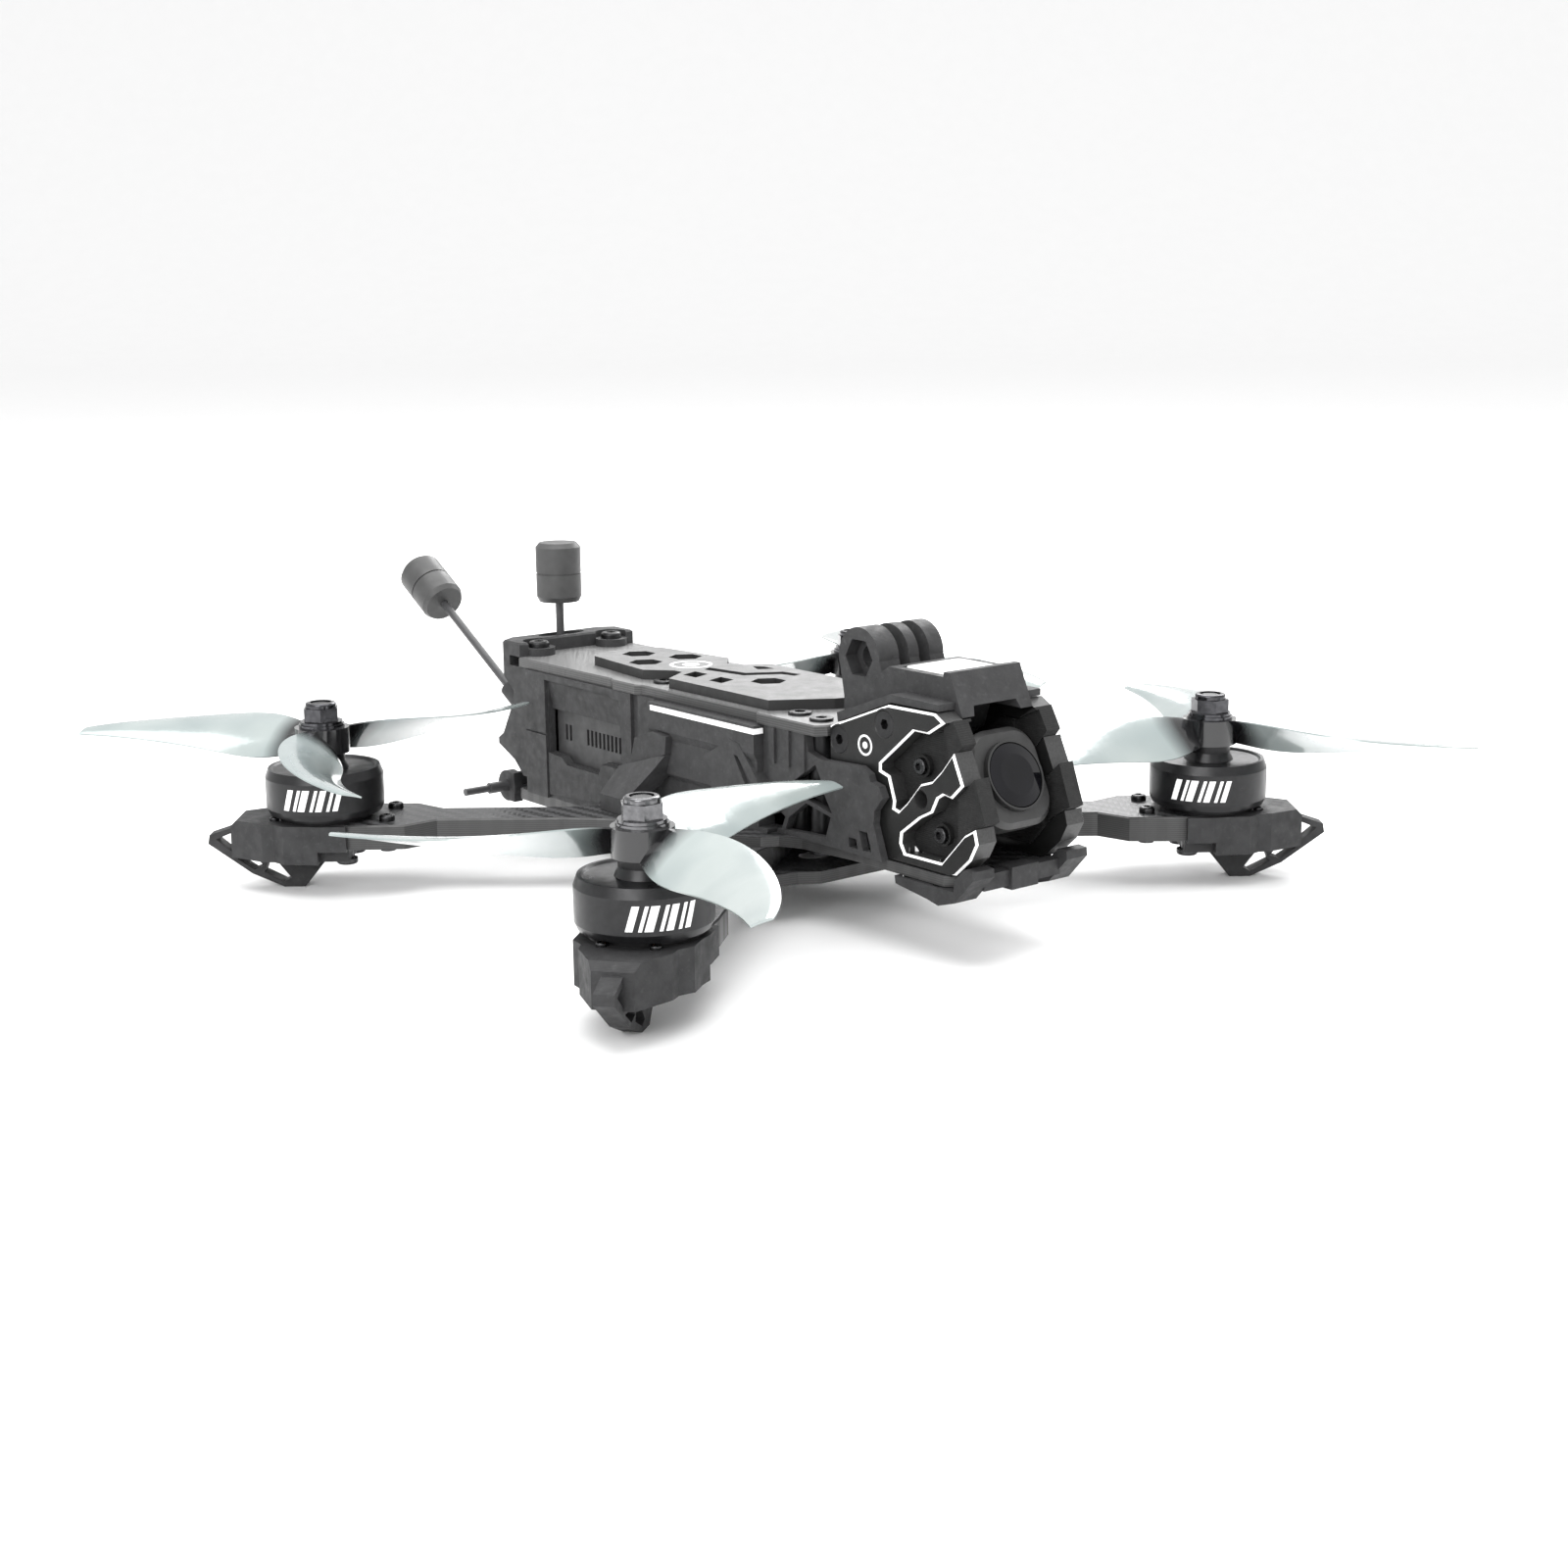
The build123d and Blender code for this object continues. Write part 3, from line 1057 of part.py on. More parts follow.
def prop_nut(x, y):
    """The flanged lock nut with its nylon collar, and the washer under it."""
    with BuildPart() as nut:
        with BuildSketch(Plane(origin=(x, y, HUB_TOP), z_dir=(0, 0, 1))):
            Circle(5.5)
        extrude(amount=0.8)
        with BuildSketch(Plane(origin=(x, y, HUB_TOP + 0.8), z_dir=(0, 0, 1))):
            Circle(5.1)
        extrude(amount=0.7)
        with BuildSketch(Plane(origin=(x, y, HUB_TOP + 1.5), z_dir=(0, 0, 1))):
            RegularPolygon(NUT_FLAT / 2, 6, major_radius=False)
        extrude(amount=3.3)
        with BuildSketch(Plane(origin=(x, y, HUB_TOP + 4.8), z_dir=(0, 0, 1))):
            Circle(3.75)
        extrude(amount=1.3)
        fillet(nut.edges().group_by(Axis.Z)[-1], 0.6)
        with BuildSketch(Plane(origin=(x, y, HUB_TOP), z_dir=(0, 0, 1))):
            Circle(SHAFT_R + FIT)
        extrude(amount=8, mode=Mode.SUBTRACT)
    return nut.part


ccw_propeller = propeller()
with BuildPart() as cw_holder:
    mirror(ccw_propeller, about=Plane.XZ)
cw_propeller = cw_holder.part

for corner, (sx, sy) in CORNERS.items():
    x, y = sx * MOTOR_X, sy * MOTOR_Y
    save(motor_base(corner), f"motor_base_{corner}")
    save(bell(corner), f"bell_{corner}")
    with BuildPart() as prop:
        with Locations(Location((x, y, 0), (0, 0, BLADE_ANGLE[corner]))):
            add(ccw_propeller if SPIN_CCW[corner] else cw_propeller)
    save(prop.part, f"prop_{corner}")
    save(prop_nut(x, y), f"prop_nut_{corner}")

# ---- fasteners ----------------------------------------------------------------------------------
DOWN = (0, 0, -1)

with BuildPart() as countersunk_screws:
    for side in (-1, 1):
        for y, z in CAGE_BOLTS:
            face = Plane(origin=(side * (CAGE_OUT - 0.15), y, z), x_dir=(0, 1, 0), z_dir=(side, 0, 0))
            add(countersunk_screw(face, 3.0, SCREW_R - FIT, 10.0))
    for x, y in STACK_HOLES:
        add(countersunk_screw(Plane(origin=(x, y, 0.1), z_dir=DOWN), 2.7, SCREW_R - FIT,
                              FC_Z + BOARD_T + 4.0))
    for x, y in mirrored([REAR_POST]):
        add(countersunk_screw(Plane(origin=(x, y, 0.1), z_dir=DOWN), 2.7, SCREW_R - FIT, 9.0))
save(countersunk_screws.part, "countersunk_screws")

with BuildPart() as frame_screws:
    for x, y in mirrored(DECK_POSTS):
        add(cap_screw(Plane(origin=(x, y, Z_PAD), z_dir=(0, 0, 1)), 2.8, 0.7, SCREW_R - FIT, 9.0))
        add(cap_screw(Plane(origin=(x, y, Z_DECK), z_dir=DOWN), 2.8, 1.6, SCREW_R - FIT, 9.0))
    for x, y in mirrored([REAR_POST]):
        add(cap_screw(Plane(origin=(x, y, Z_PAD + 2.0), z_dir=(0, 0, 1)), 2.8, 1.6, SCREW_R - FIT, 11.0))
    for x, y in mirrored([((CAGE_OUT + CAGE_IN) / 2, y) for y in CAGE_FEET]):
        add(cap_screw(Plane(origin=(x, y, Z_DECK), z_dir=DOWN), 2.8, 1.6, SCREW_R - FIT, 4.8))
save(frame_screws.part, "frame_screws")

with BuildPart() as small_screws:
    for corner in CORNERS:
        on_arm = outward_plane(corner, ARM_LENGTH - GUARD_SCREW_BACK, Z_DECK)
        for across in (-GUARD_SCREW_HALF, GUARD_SCREW_HALF):
            seat = on_arm.from_local_coords((0, across, 0))
            add(cap_screw(Plane(origin=seat, z_dir=(0, 0, 1)), 1.9, 1.5, 1.0 - FIT, ARM_T + 1.5))
            add(rod(Plane(origin=seat - Vector(0, 0, ARM_T + 1.4), z_dir=(0, 0, 1)), 1.9, 1.4))
        under = outward_plane(corner, ARM_LENGTH, GUARD_LOW)
        for step in range(4):
            turn = pi / 4 + pi / 2 * step
            seat = under.from_local_coords((MOTOR_PATTERN / 2 * cos(turn), MOTOR_PATTERN / 2 * sin(turn), 0))
            add(cap_screw(Plane(origin=seat, z_dir=DOWN), 2.6, 1.4, SCREW_R - FIT,
                          BASE_TOP - GUARD_LOW - 0.2))
        shoe_top = outward_plane(corner, ARM_LENGTH, Z_DECK)
        for place in BELL_SIDE_SCREWS:
            seat = shoe_top.from_local_coords((*place, 0))
            add(cap_screw(Plane(origin=seat, z_dir=(0, 0, 1)), 1.2, 0.9, 0.7, 6.0))
    for side in (-1, 1):
        for y, z in INSERT_SCREWS:
            face = Plane(origin=(side * INSERT_BOSS, y, z), x_dir=(0, 1, 0), z_dir=(side, 0, 0))
            add(cap_screw(face, 1.9, 1.2, 1.0 - FIT, 7.0))
save(small_screws.part, "small_screws")
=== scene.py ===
import json
from math import atan2, cos, pi, radians, sin

import bmesh
import bpy
from mathutils import Matrix, Vector


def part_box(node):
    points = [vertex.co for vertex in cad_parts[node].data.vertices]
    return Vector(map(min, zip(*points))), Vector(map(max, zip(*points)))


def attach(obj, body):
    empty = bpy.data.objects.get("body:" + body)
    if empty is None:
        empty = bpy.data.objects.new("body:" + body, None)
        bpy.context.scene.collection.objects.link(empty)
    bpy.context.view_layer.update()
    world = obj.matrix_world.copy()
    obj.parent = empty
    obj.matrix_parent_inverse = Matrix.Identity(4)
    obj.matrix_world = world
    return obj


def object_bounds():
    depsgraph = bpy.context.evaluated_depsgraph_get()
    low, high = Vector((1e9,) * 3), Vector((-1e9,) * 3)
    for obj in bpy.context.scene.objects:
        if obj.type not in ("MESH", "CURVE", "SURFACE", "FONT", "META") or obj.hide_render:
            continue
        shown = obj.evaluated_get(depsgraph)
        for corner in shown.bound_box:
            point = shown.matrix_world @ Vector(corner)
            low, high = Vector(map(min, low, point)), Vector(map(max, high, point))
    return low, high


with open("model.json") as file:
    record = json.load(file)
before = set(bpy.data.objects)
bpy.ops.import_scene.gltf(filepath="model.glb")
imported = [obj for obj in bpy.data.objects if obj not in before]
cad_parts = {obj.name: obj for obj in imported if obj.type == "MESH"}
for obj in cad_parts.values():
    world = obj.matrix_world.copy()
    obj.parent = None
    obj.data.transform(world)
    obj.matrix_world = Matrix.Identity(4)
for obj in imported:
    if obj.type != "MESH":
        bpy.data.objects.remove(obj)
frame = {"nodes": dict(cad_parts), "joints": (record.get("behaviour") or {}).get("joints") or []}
nodes = frame["nodes"]
cad_low, cad_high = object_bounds()

MM = 0.001
CORNERS = ("front_right", "front_left", "rear_right", "rear_left")
SPIN_AXIS = {joint["child"]: Vector(joint["pos_m"]) for joint in frame["joints"]}
AXIS = {corner: SPIN_AXIS[f"rotor_{corner}"] for corner in CORNERS}

# ---- camera -------------------------------------------------------------------------------------
CAMERA_PLACE = (-0.342884, -0.436502, 0.139709)
CAMERA_RIGHT = Vector((0.77228, -0.63525, -0.00697))
CAMERA_UP = Vector((0.14233, 0.16232, 0.97642))
CAMERA_BACK = Vector((-0.61914, -0.75506, 0.21577))

camera_data = bpy.data.cameras.new("camera")
camera_data.sensor_width = 36.0
camera_data.lens = 52.875
camera_data.shift_x = -0.0196
camera_data.shift_y = -0.004
camera_data.clip_start = 0.01
camera = bpy.data.objects.new("camera", camera_data)
bpy.context.scene.collection.objects.link(camera)
turn = Matrix((CAMERA_RIGHT, CAMERA_UP, CAMERA_BACK)).transposed()
camera.matrix_world = Matrix.Translation(CAMERA_PLACE) @ turn.to_4x4()
bpy.context.scene.camera = camera


# ---- material nodes -----------------------------------------------------------------------------
class Surface:
    """A material's node tree, with short ways to add the nodes that the finishes here share."""

    def __init__(self, name, colour, roughness, metallic=0.0, **sockets):
        self.material = bpy.data.materials.new(name)
        self.material.use_nodes = True
        self.tree = self.material.node_tree
        self.shader = self.tree.nodes["Principled BSDF"]
        self.set("Base Color", (*colour, 1.0))
        self.set("Roughness", roughness)
        self.set("Metallic", metallic)
        for socket, value in sockets.items():
            self.set(socket.replace("_", " "), value)
        self.place = self.node("ShaderNodeTexCoord").outputs["Object"]

    def set(self, socket, value):
        self.shader.inputs[socket].default_value = value

    def node(self, kind, inputs=(), **settings):
        made = self.tree.nodes.new(kind)
        for key, value in settings.items():
            setattr(made, key, value)
        for key, value in dict(inputs).items():
            if hasattr(value, "is_linked"):
                self.tree.links.new(value, made.inputs[key])
            else:
                made.inputs[key].default_value = value
        return made

    def link(self, output, socket):
        self.tree.links.new(output, self.shader.inputs[socket])

    def math(self, operation, *values):
        return self.node("ShaderNodeMath", enumerate(values), operation=operation).outputs[0]

    def scaled(self, factors):
        """The place in the object, stretched by one factor along each axis."""
        return self.node("ShaderNodeVectorMath", {0: self.place, 1: factors}, operation="MULTIPLY").outputs[0]

    def noise(self, scale, detail=3.0, place=None):
        inputs = {"Vector": place or self.place, "Scale": scale, "Detail": detail}
        return self.node("ShaderNodeTexNoise", inputs).outputs["Fac"]

    def split(self, vector=None):
        return self.node("ShaderNodeSeparateXYZ", {0: vector or self.place}).outputs

    def facing(self):
        """The surface's own direction, as three numbers."""
        return self.split(self.node("ShaderNodeNewGeometry").outputs["True Normal"])

    def band(self, value, low, high, at_low=0.0, at_high=1.0):
        """A number that goes from at_low to at_high while value goes from low to high."""
        inputs = {0: value, 1: low, 2: high, 3: at_low, 4: at_high}
        return self.node("ShaderNodeMapRange", inputs).outputs[0]

    def mix(self, factor, first, second):
        inputs = {0: factor}
        for key, colour in ((6, first), (7, second)):
            inputs[key] = colour if hasattr(colour, "is_linked") else (*colour, 1.0)
        return self.node("ShaderNodeMix", inputs, data_type="RGBA").outputs[2]

    def bump(self, height, depth, strength=1.0, before=None):
        inputs = {"Height": height, "Distance": depth, "Strength": strength}
        if before is not None:
            inputs["Normal"] = before
        return self.node("ShaderNodeBump", inputs).outputs["Normal"]

    def mottle(self, colour, amount, scale):
        """Colour that varies a little from place to place."""
        lighter = [channel * (1 + amount) for channel in colour]
        darker = [channel * (1 - amount) for channel in colour]
        return self.mix(self.band(self.noise(scale), 0.35, 0.65), darker, lighter)


def printed(name, colour, layer=0.25, roughness=0.62, lift=1.0):
    """Flexible printed plastic: stacked layers on the walls, diagonal strokes on the level faces."""
    skin = Surface(name, colour, roughness, Specular_IOR_Level=0.42)
    x, y, z = skin.split()
    normal = skin.facing()
    level = skin.band(skin.math("ABSOLUTE", normal[2]), 0.75, 0.95)
    layers = skin.math("SINE", skin.math("MULTIPLY", z, 2 * pi / (layer * MM)))
    stroke = skin.math("MULTIPLY", skin.math("ADD", x, y), 2 * pi / (0.62 * MM))
    strokes = skin.math("SINE", stroke)
    height = skin.node("ShaderNodeMix", {0: level, 2: layers, 3: strokes}, data_type="FLOAT").outputs[0]
    grain = skin.noise(9000.0, 2.0)
    fine = skin.bump(height, 0.03 * MM, 0.55 * lift)
    skin.link(skin.bump(grain, 0.04 * MM, 0.5, fine), "Normal")
    body = skin.mottle(colour, 0.16, 260.0)
    worn = skin.band(skin.noise(900.0, 6.0), 0.58, 0.72, 0.0, 0.35)
    skin.link(skin.mix(worn, body, [min(1.0, c * 2.0 + 0.01) for c in colour]), "Base Color")
    skin.link(skin.band(skin.noise(420.0), 0.3, 0.7, roughness - 0.1, roughness + 0.12), "Roughness")
    return skin.material


def carbon(name, angle, tow=1.35, colour=(0.018, 0.018, 0.019)):
    """Twill-woven carbon on the flat faces, plain pressed layers on the cut edges."""
    skin = Surface(name, colour, 0.42, Specular_IOR_Level=0.5, Coat_Weight=0.25, Coat_Roughness=0.3)
    turned = skin.node("ShaderNodeVectorRotate", {"Vector": skin.place, "Angle": angle}, rotation_type="Z_AXIS")
    x, y, z = skin.split(turned.outputs[0])
    across = skin.math("DIVIDE", x, tow * MM)
    along = skin.math("DIVIDE", y, tow * MM)
    steps = skin.math("ADD", skin.math("FLOOR", across), skin.math("FLOOR", along))
    over = skin.math("LESS_THAN", skin.math("FLOORED_MODULO", steps, 4.0), 2.0)
    round_x = skin.math("ABSOLUTE", skin.math("SINE", skin.math("MULTIPLY", across, pi)))
    round_y = skin.math("ABSOLUTE", skin.math("SINE", skin.math("MULTIPLY", along, pi)))
    crown = skin.node("ShaderNodeMix", {0: over, 2: round_x, 3: round_y}, data_type="FLOAT").outputs[0]
    level = skin.band(skin.math("ABSOLUTE", skin.facing()[2]), 0.8, 0.95)
    light = [channel * 2.6 + 0.012 for channel in colour]
    weave = skin.mix(skin.math("MULTIPLY", over, 0.75), colour, light)
    plies = skin.band(skin.math("SINE", skin.math("MULTIPLY", z, 2 * pi / (0.5 * MM))), -0.6, 0.6)
    edge = skin.mix(plies, [0.016] * 3, [0.034] * 3)
    skin.link(skin.mix(level, edge, weave), "Base Color")
    relief = skin.math("MULTIPLY", crown, level)
    grain = skin.bump(skin.noise(7000.0), 0.02 * MM, 0.4)
    skin.link(skin.bump(relief, 0.09 * MM, 0.8, grain), "Normal")
    skin.link(skin.node("ShaderNodeMix", {0: over, 2: 0.36, 3: 0.5}, data_type="FLOAT").outputs[0], "Roughness")
    return skin.material


def satin_plate(name):
    """The top plate: a pale grey satin skin with long faint streaks, and dark laminated edges."""
    skin = Surface(name, (0.15, 0.15, 0.152), 0.4, Specular_IOR_Level=0.6)
    x, y, z = skin.split()
    level = skin.band(skin.facing()[2], 0.6, 0.9)
    slanted = skin.node("ShaderNodeVectorRotate", {"Vector": skin.place, "Angle": radians(35)},
                        rotation_type="Z_AXIS").outputs[0]
    stretched = skin.node("ShaderNodeVectorMath", {0: slanted, 1: (2600.0, 60.0, 60.0)}, operation="MULTIPLY")
    streaks = skin.noise(1.0, 4.0, stretched.outputs[0])
    top = skin.mix(skin.band(streaks, 0.35, 0.65), [0.105] * 3, [0.165] * 3)
    plies = skin.band(skin.math("SINE", skin.math("MULTIPLY", z, 2 * pi / (0.55 * MM))), -0.7, 0.7)
    edge = skin.mix(plies, [0.028] * 3, [0.06] * 3)
    skin.link(skin.mix(level, edge, top), "Base Color")
    skin.link(skin.band(streaks, 0.3, 0.7, 0.34, 0.5), "Roughness")
    skin.link(skin.bump(streaks, 0.012 * MM, 0.5), "Normal")
    return skin.material


def grip_pad(name):
    """The battery pad: a pale grey dimpled top on dark sides."""
    skin = Surface(name, (0.16, 0.16, 0.16), 0.6)
    level = skin.band(skin.facing()[2], 0.6, 0.9)
    grain = skin.noise(5200.0, 4.0)
    top = skin.mix(skin.band(grain, 0.35, 0.7), [0.125] * 3, [0.185] * 3)
    skin.link(skin.mix(level, [0.018] * 3, top), "Base Color")
    skin.link(skin.bump(grain, 0.05 * MM, 0.6), "Normal")
    skin.link(skin.band(skin.noise(300.0), 0.3, 0.7, 0.5, 0.68), "Roughness")
    return skin.material


def anodised(name, colour=(0.02, 0.02, 0.021), roughness=0.38, metallic=0.6, bead=3800.0):
    """Bead-blasted, anodised aluminium."""
    skin = Surface(name, colour, roughness, metallic, Specular_IOR_Level=0.5)
    grain = skin.noise(bead, 2.0)
    skin.link(skin.bump(grain, 0.02 * MM, 0.35), "Normal")
    skin.link(skin.mottle(colour, 0.12, 500.0), "Base Color")
    skin.link(skin.band(skin.noise(240.0), 0.3, 0.7, roughness - 0.06, roughness + 0.08), "Roughness")
    return skin.material


CAGE_BOLTS = ((-47.0, 36.2), (-62.4, 41.9))
BOLT_SINK = 3.6
CAGE_FOOT = 12.2


def cage_metal(name):
    """Black anodised plate whose chamfers are cut back to bare metal, drawn near white with a faint glow as a painted
    highlight, and whose rim is satin grey.
    """
    skin = Surface(name, (0.02, 0.02, 0.021), 0.36, 0.55)
    normal = skin.facing()
    side = skin.math("ABSOLUTE", normal[0])
    x, y, z = skin.split()
    bevel_and_glint = skin.math("MULTIPLY", skin.math("GREATER_THAN", side, 0.5), skin.math("LESS_THAN", side, 0.9))
    bevel_and_glint = skin.math("MULTIPLY", bevel_and_glint, skin.math("GREATER_THAN", z, CAGE_FOOT * MM))
    for bolt_y, bolt_z in CAGE_BOLTS:
        off_y = skin.math("SUBTRACT", y, bolt_y * MM)
        off_z = skin.math("SUBTRACT", z, bolt_z * MM)
        squares = [skin.math("MULTIPLY", off, off) for off in (off_y, off_z)]
        distance = skin.math("SQRT", skin.math("ADD", *squares))
        bevel_and_glint = skin.math("MULTIPLY", bevel_and_glint, skin.math("GREATER_THAN", distance, BOLT_SINK * MM))
    rim = skin.math("LESS_THAN", side, 0.5)
    grain = skin.noise(4200.0, 2.0)
    face = skin.mix(skin.band(grain, 0.3, 0.7), [0.013] * 3, [0.021] * 3)
    satin = skin.mix(skin.band(skin.noise(1800.0, 3.0), 0.3, 0.7), [0.055] * 3, [0.075] * 3)
    body = skin.mix(rim, face, satin)
    # The chamfers are bare cut metal, drawn as near-white matte colour: partly their own colour, partly a painted
    # highlight.
    skin.link(skin.mix(bevel_and_glint, body, [0.93] * 3), "Base Color")
    skin.link(skin.math("SUBTRACT", 0.55, skin.math("MULTIPLY", bevel_and_glint, 0.45)), "Metallic")
    skin.link(skin.band(skin.noise(300.0), 0.3, 0.7, 0.32, 0.44), "Roughness")
    skin.link(skin.bump(grain, 0.015 * MM, 0.4), "Normal")
    # A faint white glow on the chamfers: painted highlight, since the plate is no lamp.
    skin.set("Emission Color", (1.0, 1.0, 1.0, 1.0))
    skin.link(skin.math("MULTIPLY", bevel_and_glint, 0.25), "Emission Strength")
    return skin.material


def plated(name, colour, roughness=0.14):
    """Dark, mirror-like plating with fine handling marks."""
    skin = Surface(name, colour, roughness, 1.0)
    marks = skin.noise(1500.0, 5.0, skin.scaled((1.0, 1.0, 6.0)))
    skin.link(skin.band(marks, 0.35, 0.7, roughness - 0.05, roughness + 0.14), "Roughness")
    skin.link(skin.mottle(colour, 0.2, 700.0), "Base Color")
    skin.link(skin.bump(marks, 0.01 * MM, 0.25), "Normal")
    return skin.material


def moulded(name, colour, roughness=0.4, coat=0.0, grain=2600.0, depth=0.02):
    """Moulded plastic with a faint spark-eroded grain."""
    skin = Surface(name, colour, roughness, Coat_Weight=coat, Coat_Roughness=0.12)
    texture = skin.noise(grain, 3.0)
    skin.link(skin.bump(texture, depth * MM, 0.4), "Normal")
    skin.link(skin.mottle(colour, 0.1, 330.0), "Base Color")
    skin.link(skin.band(skin.noise(260.0), 0.3, 0.7, roughness - 0.05, roughness + 0.07), "Roughness")
    return skin.material


def blade_plastic(name, corner):
    """Glossy tinted blades: clear grey-green with a cloudy tint, smoky at the root."""
    skin = Surface(name, (0.3, 0.34, 0.34), 0.16, 0.15, Coat_Weight=0.7, Coat_Roughness=0.06, IOR=1.5)
    x, y, z = skin.split()
    from_x = skin.math("SUBTRACT", x, AXIS[corner].x)
    from_y = skin.math("SUBTRACT", y, AXIS[corner].y)
    radius = skin.math("SQRT", skin.math("ADD", skin.math("POWER", from_x, 2.0), skin.math("POWER", from_y, 2.0)))
    clouds = skin.noise(38.0, 2.0)
    tint = skin.mix(skin.band(clouds, 0.35, 0.65), [0.23, 0.275, 0.275], [0.36, 0.4, 0.39])
    root = skin.band(skin.math("ADD", radius, skin.band(clouds, 0.0, 1.0, -0.004, 0.004)), 0.0085, 0.015)
    skin.link(skin.mix(root, [0.008, 0.008, 0.009], tint), "Base Color")
    skin.link(skin.band(skin.noise(900.0, 4.0), 0.3, 0.8, 0.12, 0.22), "Roughness")
    skin.link(skin.bump(skin.noise(160.0), 0.03 * MM, 0.3), "Normal")
    return skin.material


def bell_metal(name):
    """Satin black bell with turning marks."""
    skin = Surface(name, (0.012, 0.012, 0.013), 0.33, 0.35)
    x, y, z = skin.split()
    rings = skin.noise(1.0, 3.0, skin.scaled((40.0, 40.0, 5200.0)))
    skin.link(skin.bump(rings, 0.01 * MM, 0.4), "Normal")
    skin.link(skin.mottle((0.012, 0.012, 0.013), 0.15, 600.0), "Base Color")
    skin.link(skin.band(skin.noise(280.0), 0.3, 0.7, 0.27, 0.4), "Roughness")
    return skin.material


def circuit(name):
    """Dark solder mask with fine traces."""
    skin = Surface(name, (0.01, 0.02, 0.016), 0.35, Coat_Weight=0.3)
    traces = skin.node("ShaderNodeTexVoronoi", {"Vector": skin.place, "Scale": 900.0}, feature="DISTANCE_TO_EDGE")
    lines = skin.band(traces.outputs["Distance"], 0.02, 0.05, 1.0, 0.0)
    skin.link(skin.mix(lines, [0.008, 0.016, 0.013], [0.03, 0.05, 0.04]), "Base Color")
    skin.link(skin.bump(lines, 0.02 * MM, 0.5), "Normal")
    return skin.material


def copper(name):
    """Lacquered copper wire."""
    skin = Surface(name, (0.45, 0.17, 0.07), 0.28, 0.9, Coat_Weight=0.5)
    skin.link(skin.mottle((0.4, 0.16, 0.07), 0.25, 1500.0), "Base Color")
    skin.link(skin.bump(skin.noise(6000.0), 0.02 * MM, 0.4), "Normal")
    return skin.material


def glass(name):
    """The coated front glass, dark and almost mirror-smooth."""
    skin = Surface(name, (0.003, 0.003, 0.004), 0.05, Coat_Weight=0.15, Coat_Roughness=0.03, IOR=1.3)
    ring = skin.noise(120.0, 1.0)
    skin.link(skin.mix(skin.band(ring, 0.3, 0.7), [0.002, 0.002, 0.003], [0.005, 0.005, 0.007]), "Base Color")
    skin.link(skin.band(skin.noise(600.0), 0.3, 0.8, 0.04, 0.09), "Roughness")
    return skin.material


def white_with_painted_glow(name, brightness=0.9):
    """White ink or a milky diffuser, with a little unevenness and a faint painted glow."""
    skin = Surface(name, (brightness,) * 3, 0.45)
    skin.link(skin.mottle([brightness] * 3, 0.03, 900.0), "Base Color")
    skin.link(skin.bump(skin.noise(5000.0), 0.01 * MM, 0.3), "Normal")
    # A faint white glow, painted light: neither the ink nor the diffuser is a lamp.
    skin.set("Emission Color", (1.0, 1.0, 1.0, 1.0))
    skin.set("Emission Strength", 0.18)
    return skin.material


def dress(material, *names):
    """Puts a material on CAD nodes."""
    for name in names:
        slots = nodes[name].data.materials
        slots.clear()
        slots.append(material)


def each_corner(prefix):
    return [f"{prefix}_{corner}" for corner in CORNERS]


printed_dark = printed("printed_dark", (0.022, 0.022, 0.023))
printed_panel = printed("printed_panel", (0.034, 0.034, 0.035), layer=0.2, lift=0.6)
printed_mount = printed("printed_mount", (0.03, 0.03, 0.031), lift=0.8)
dress(printed_dark, "nose_bumper", "receiver_antenna_holder", *each_corner("motor_guard"))
dress(printed("printed_insert", (0.007, 0.007, 0.007), layer=0.45), "camera_insert_right", "camera_insert_left")
dress(printed_panel, "side_panel_right", "side_panel_left")
dress(printed_mount, "action_camera_mount", "rear_antenna_mount")
dress(carbon("carbon_body", 0.0), "bottom_plate", "mid_plate")
for corner in CORNERS:
    arm_angle = atan2(AXIS[corner].y, AXIS[corner].x)
    dress(carbon(f"carbon_{corner}", -arm_angle), f"arm_{corner}")
    dress(blade_plastic(f"blades_{corner}", corner), f"prop_{corner}")
dress(satin_plate("satin_plate"), "top_plate")
dress(grip_pad("grip_pad"), "battery_pad")
dress(cage_metal("cage_metal"), "cage_plate_right", "cage_plate_left")
black_metal = anodised("black_metal")
dress(black_metal, "standoffs", "cage_spacers", *each_corner("motor_base"))
dress(anodised("video_metal", (0.045, 0.045, 0.046), 0.5, 0.2), "video_unit")
dress(bell_metal("bell_metal"), *each_corner("bell"))
dress(plated("nut_plating", (0.07, 0.07, 0.075)), *each_corner("prop_nut"))
# The front right nut gets a lighter copy of the same nut plating: painted highlight.
dress(plated("nut_plating_lit_copy", (0.14, 0.14, 0.145), 0.16), "prop_nut_front_right")
black_oxide = anodised("black_oxide", (0.03, 0.03, 0.031), 0.34, 0.8, 2600.0)
dress(black_oxide, "countersunk_screws", "frame_screws")
dress(plated("screw_steel", (0.06, 0.06, 0.062), 0.28), "small_screws")
dress(moulded("camera_shell", (0.03, 0.03, 0.03), 0.4), "camera_body", "camera_bezel")
dress(moulded("barrel", (0.012, 0.012, 0.012), 0.35, 0.2), "camera_lens")
dress(glass("lens_glass"), "lens_glass")
dress(moulded("antenna_shell", (0.05, 0.05, 0.05), 0.46), "upright_antenna_cap", "raked_antenna_cap")
dress(moulded("antenna_sheath", (0.05, 0.05, 0.052), 0.42), "antenna_stems", "receiver_antenna")
dress(moulded("ceramic", (0.8, 0.8, 0.79), 0.35, 0.2), "gps_module")
dress(white_with_painted_glow("diffuser"), "led_strips")
dress(circuit("circuit"), "flight_controller", "esc_board", "receiver_board")
dress(moulded("grommet", (0.02, 0.02, 0.02), 0.7), "stack_spacers")
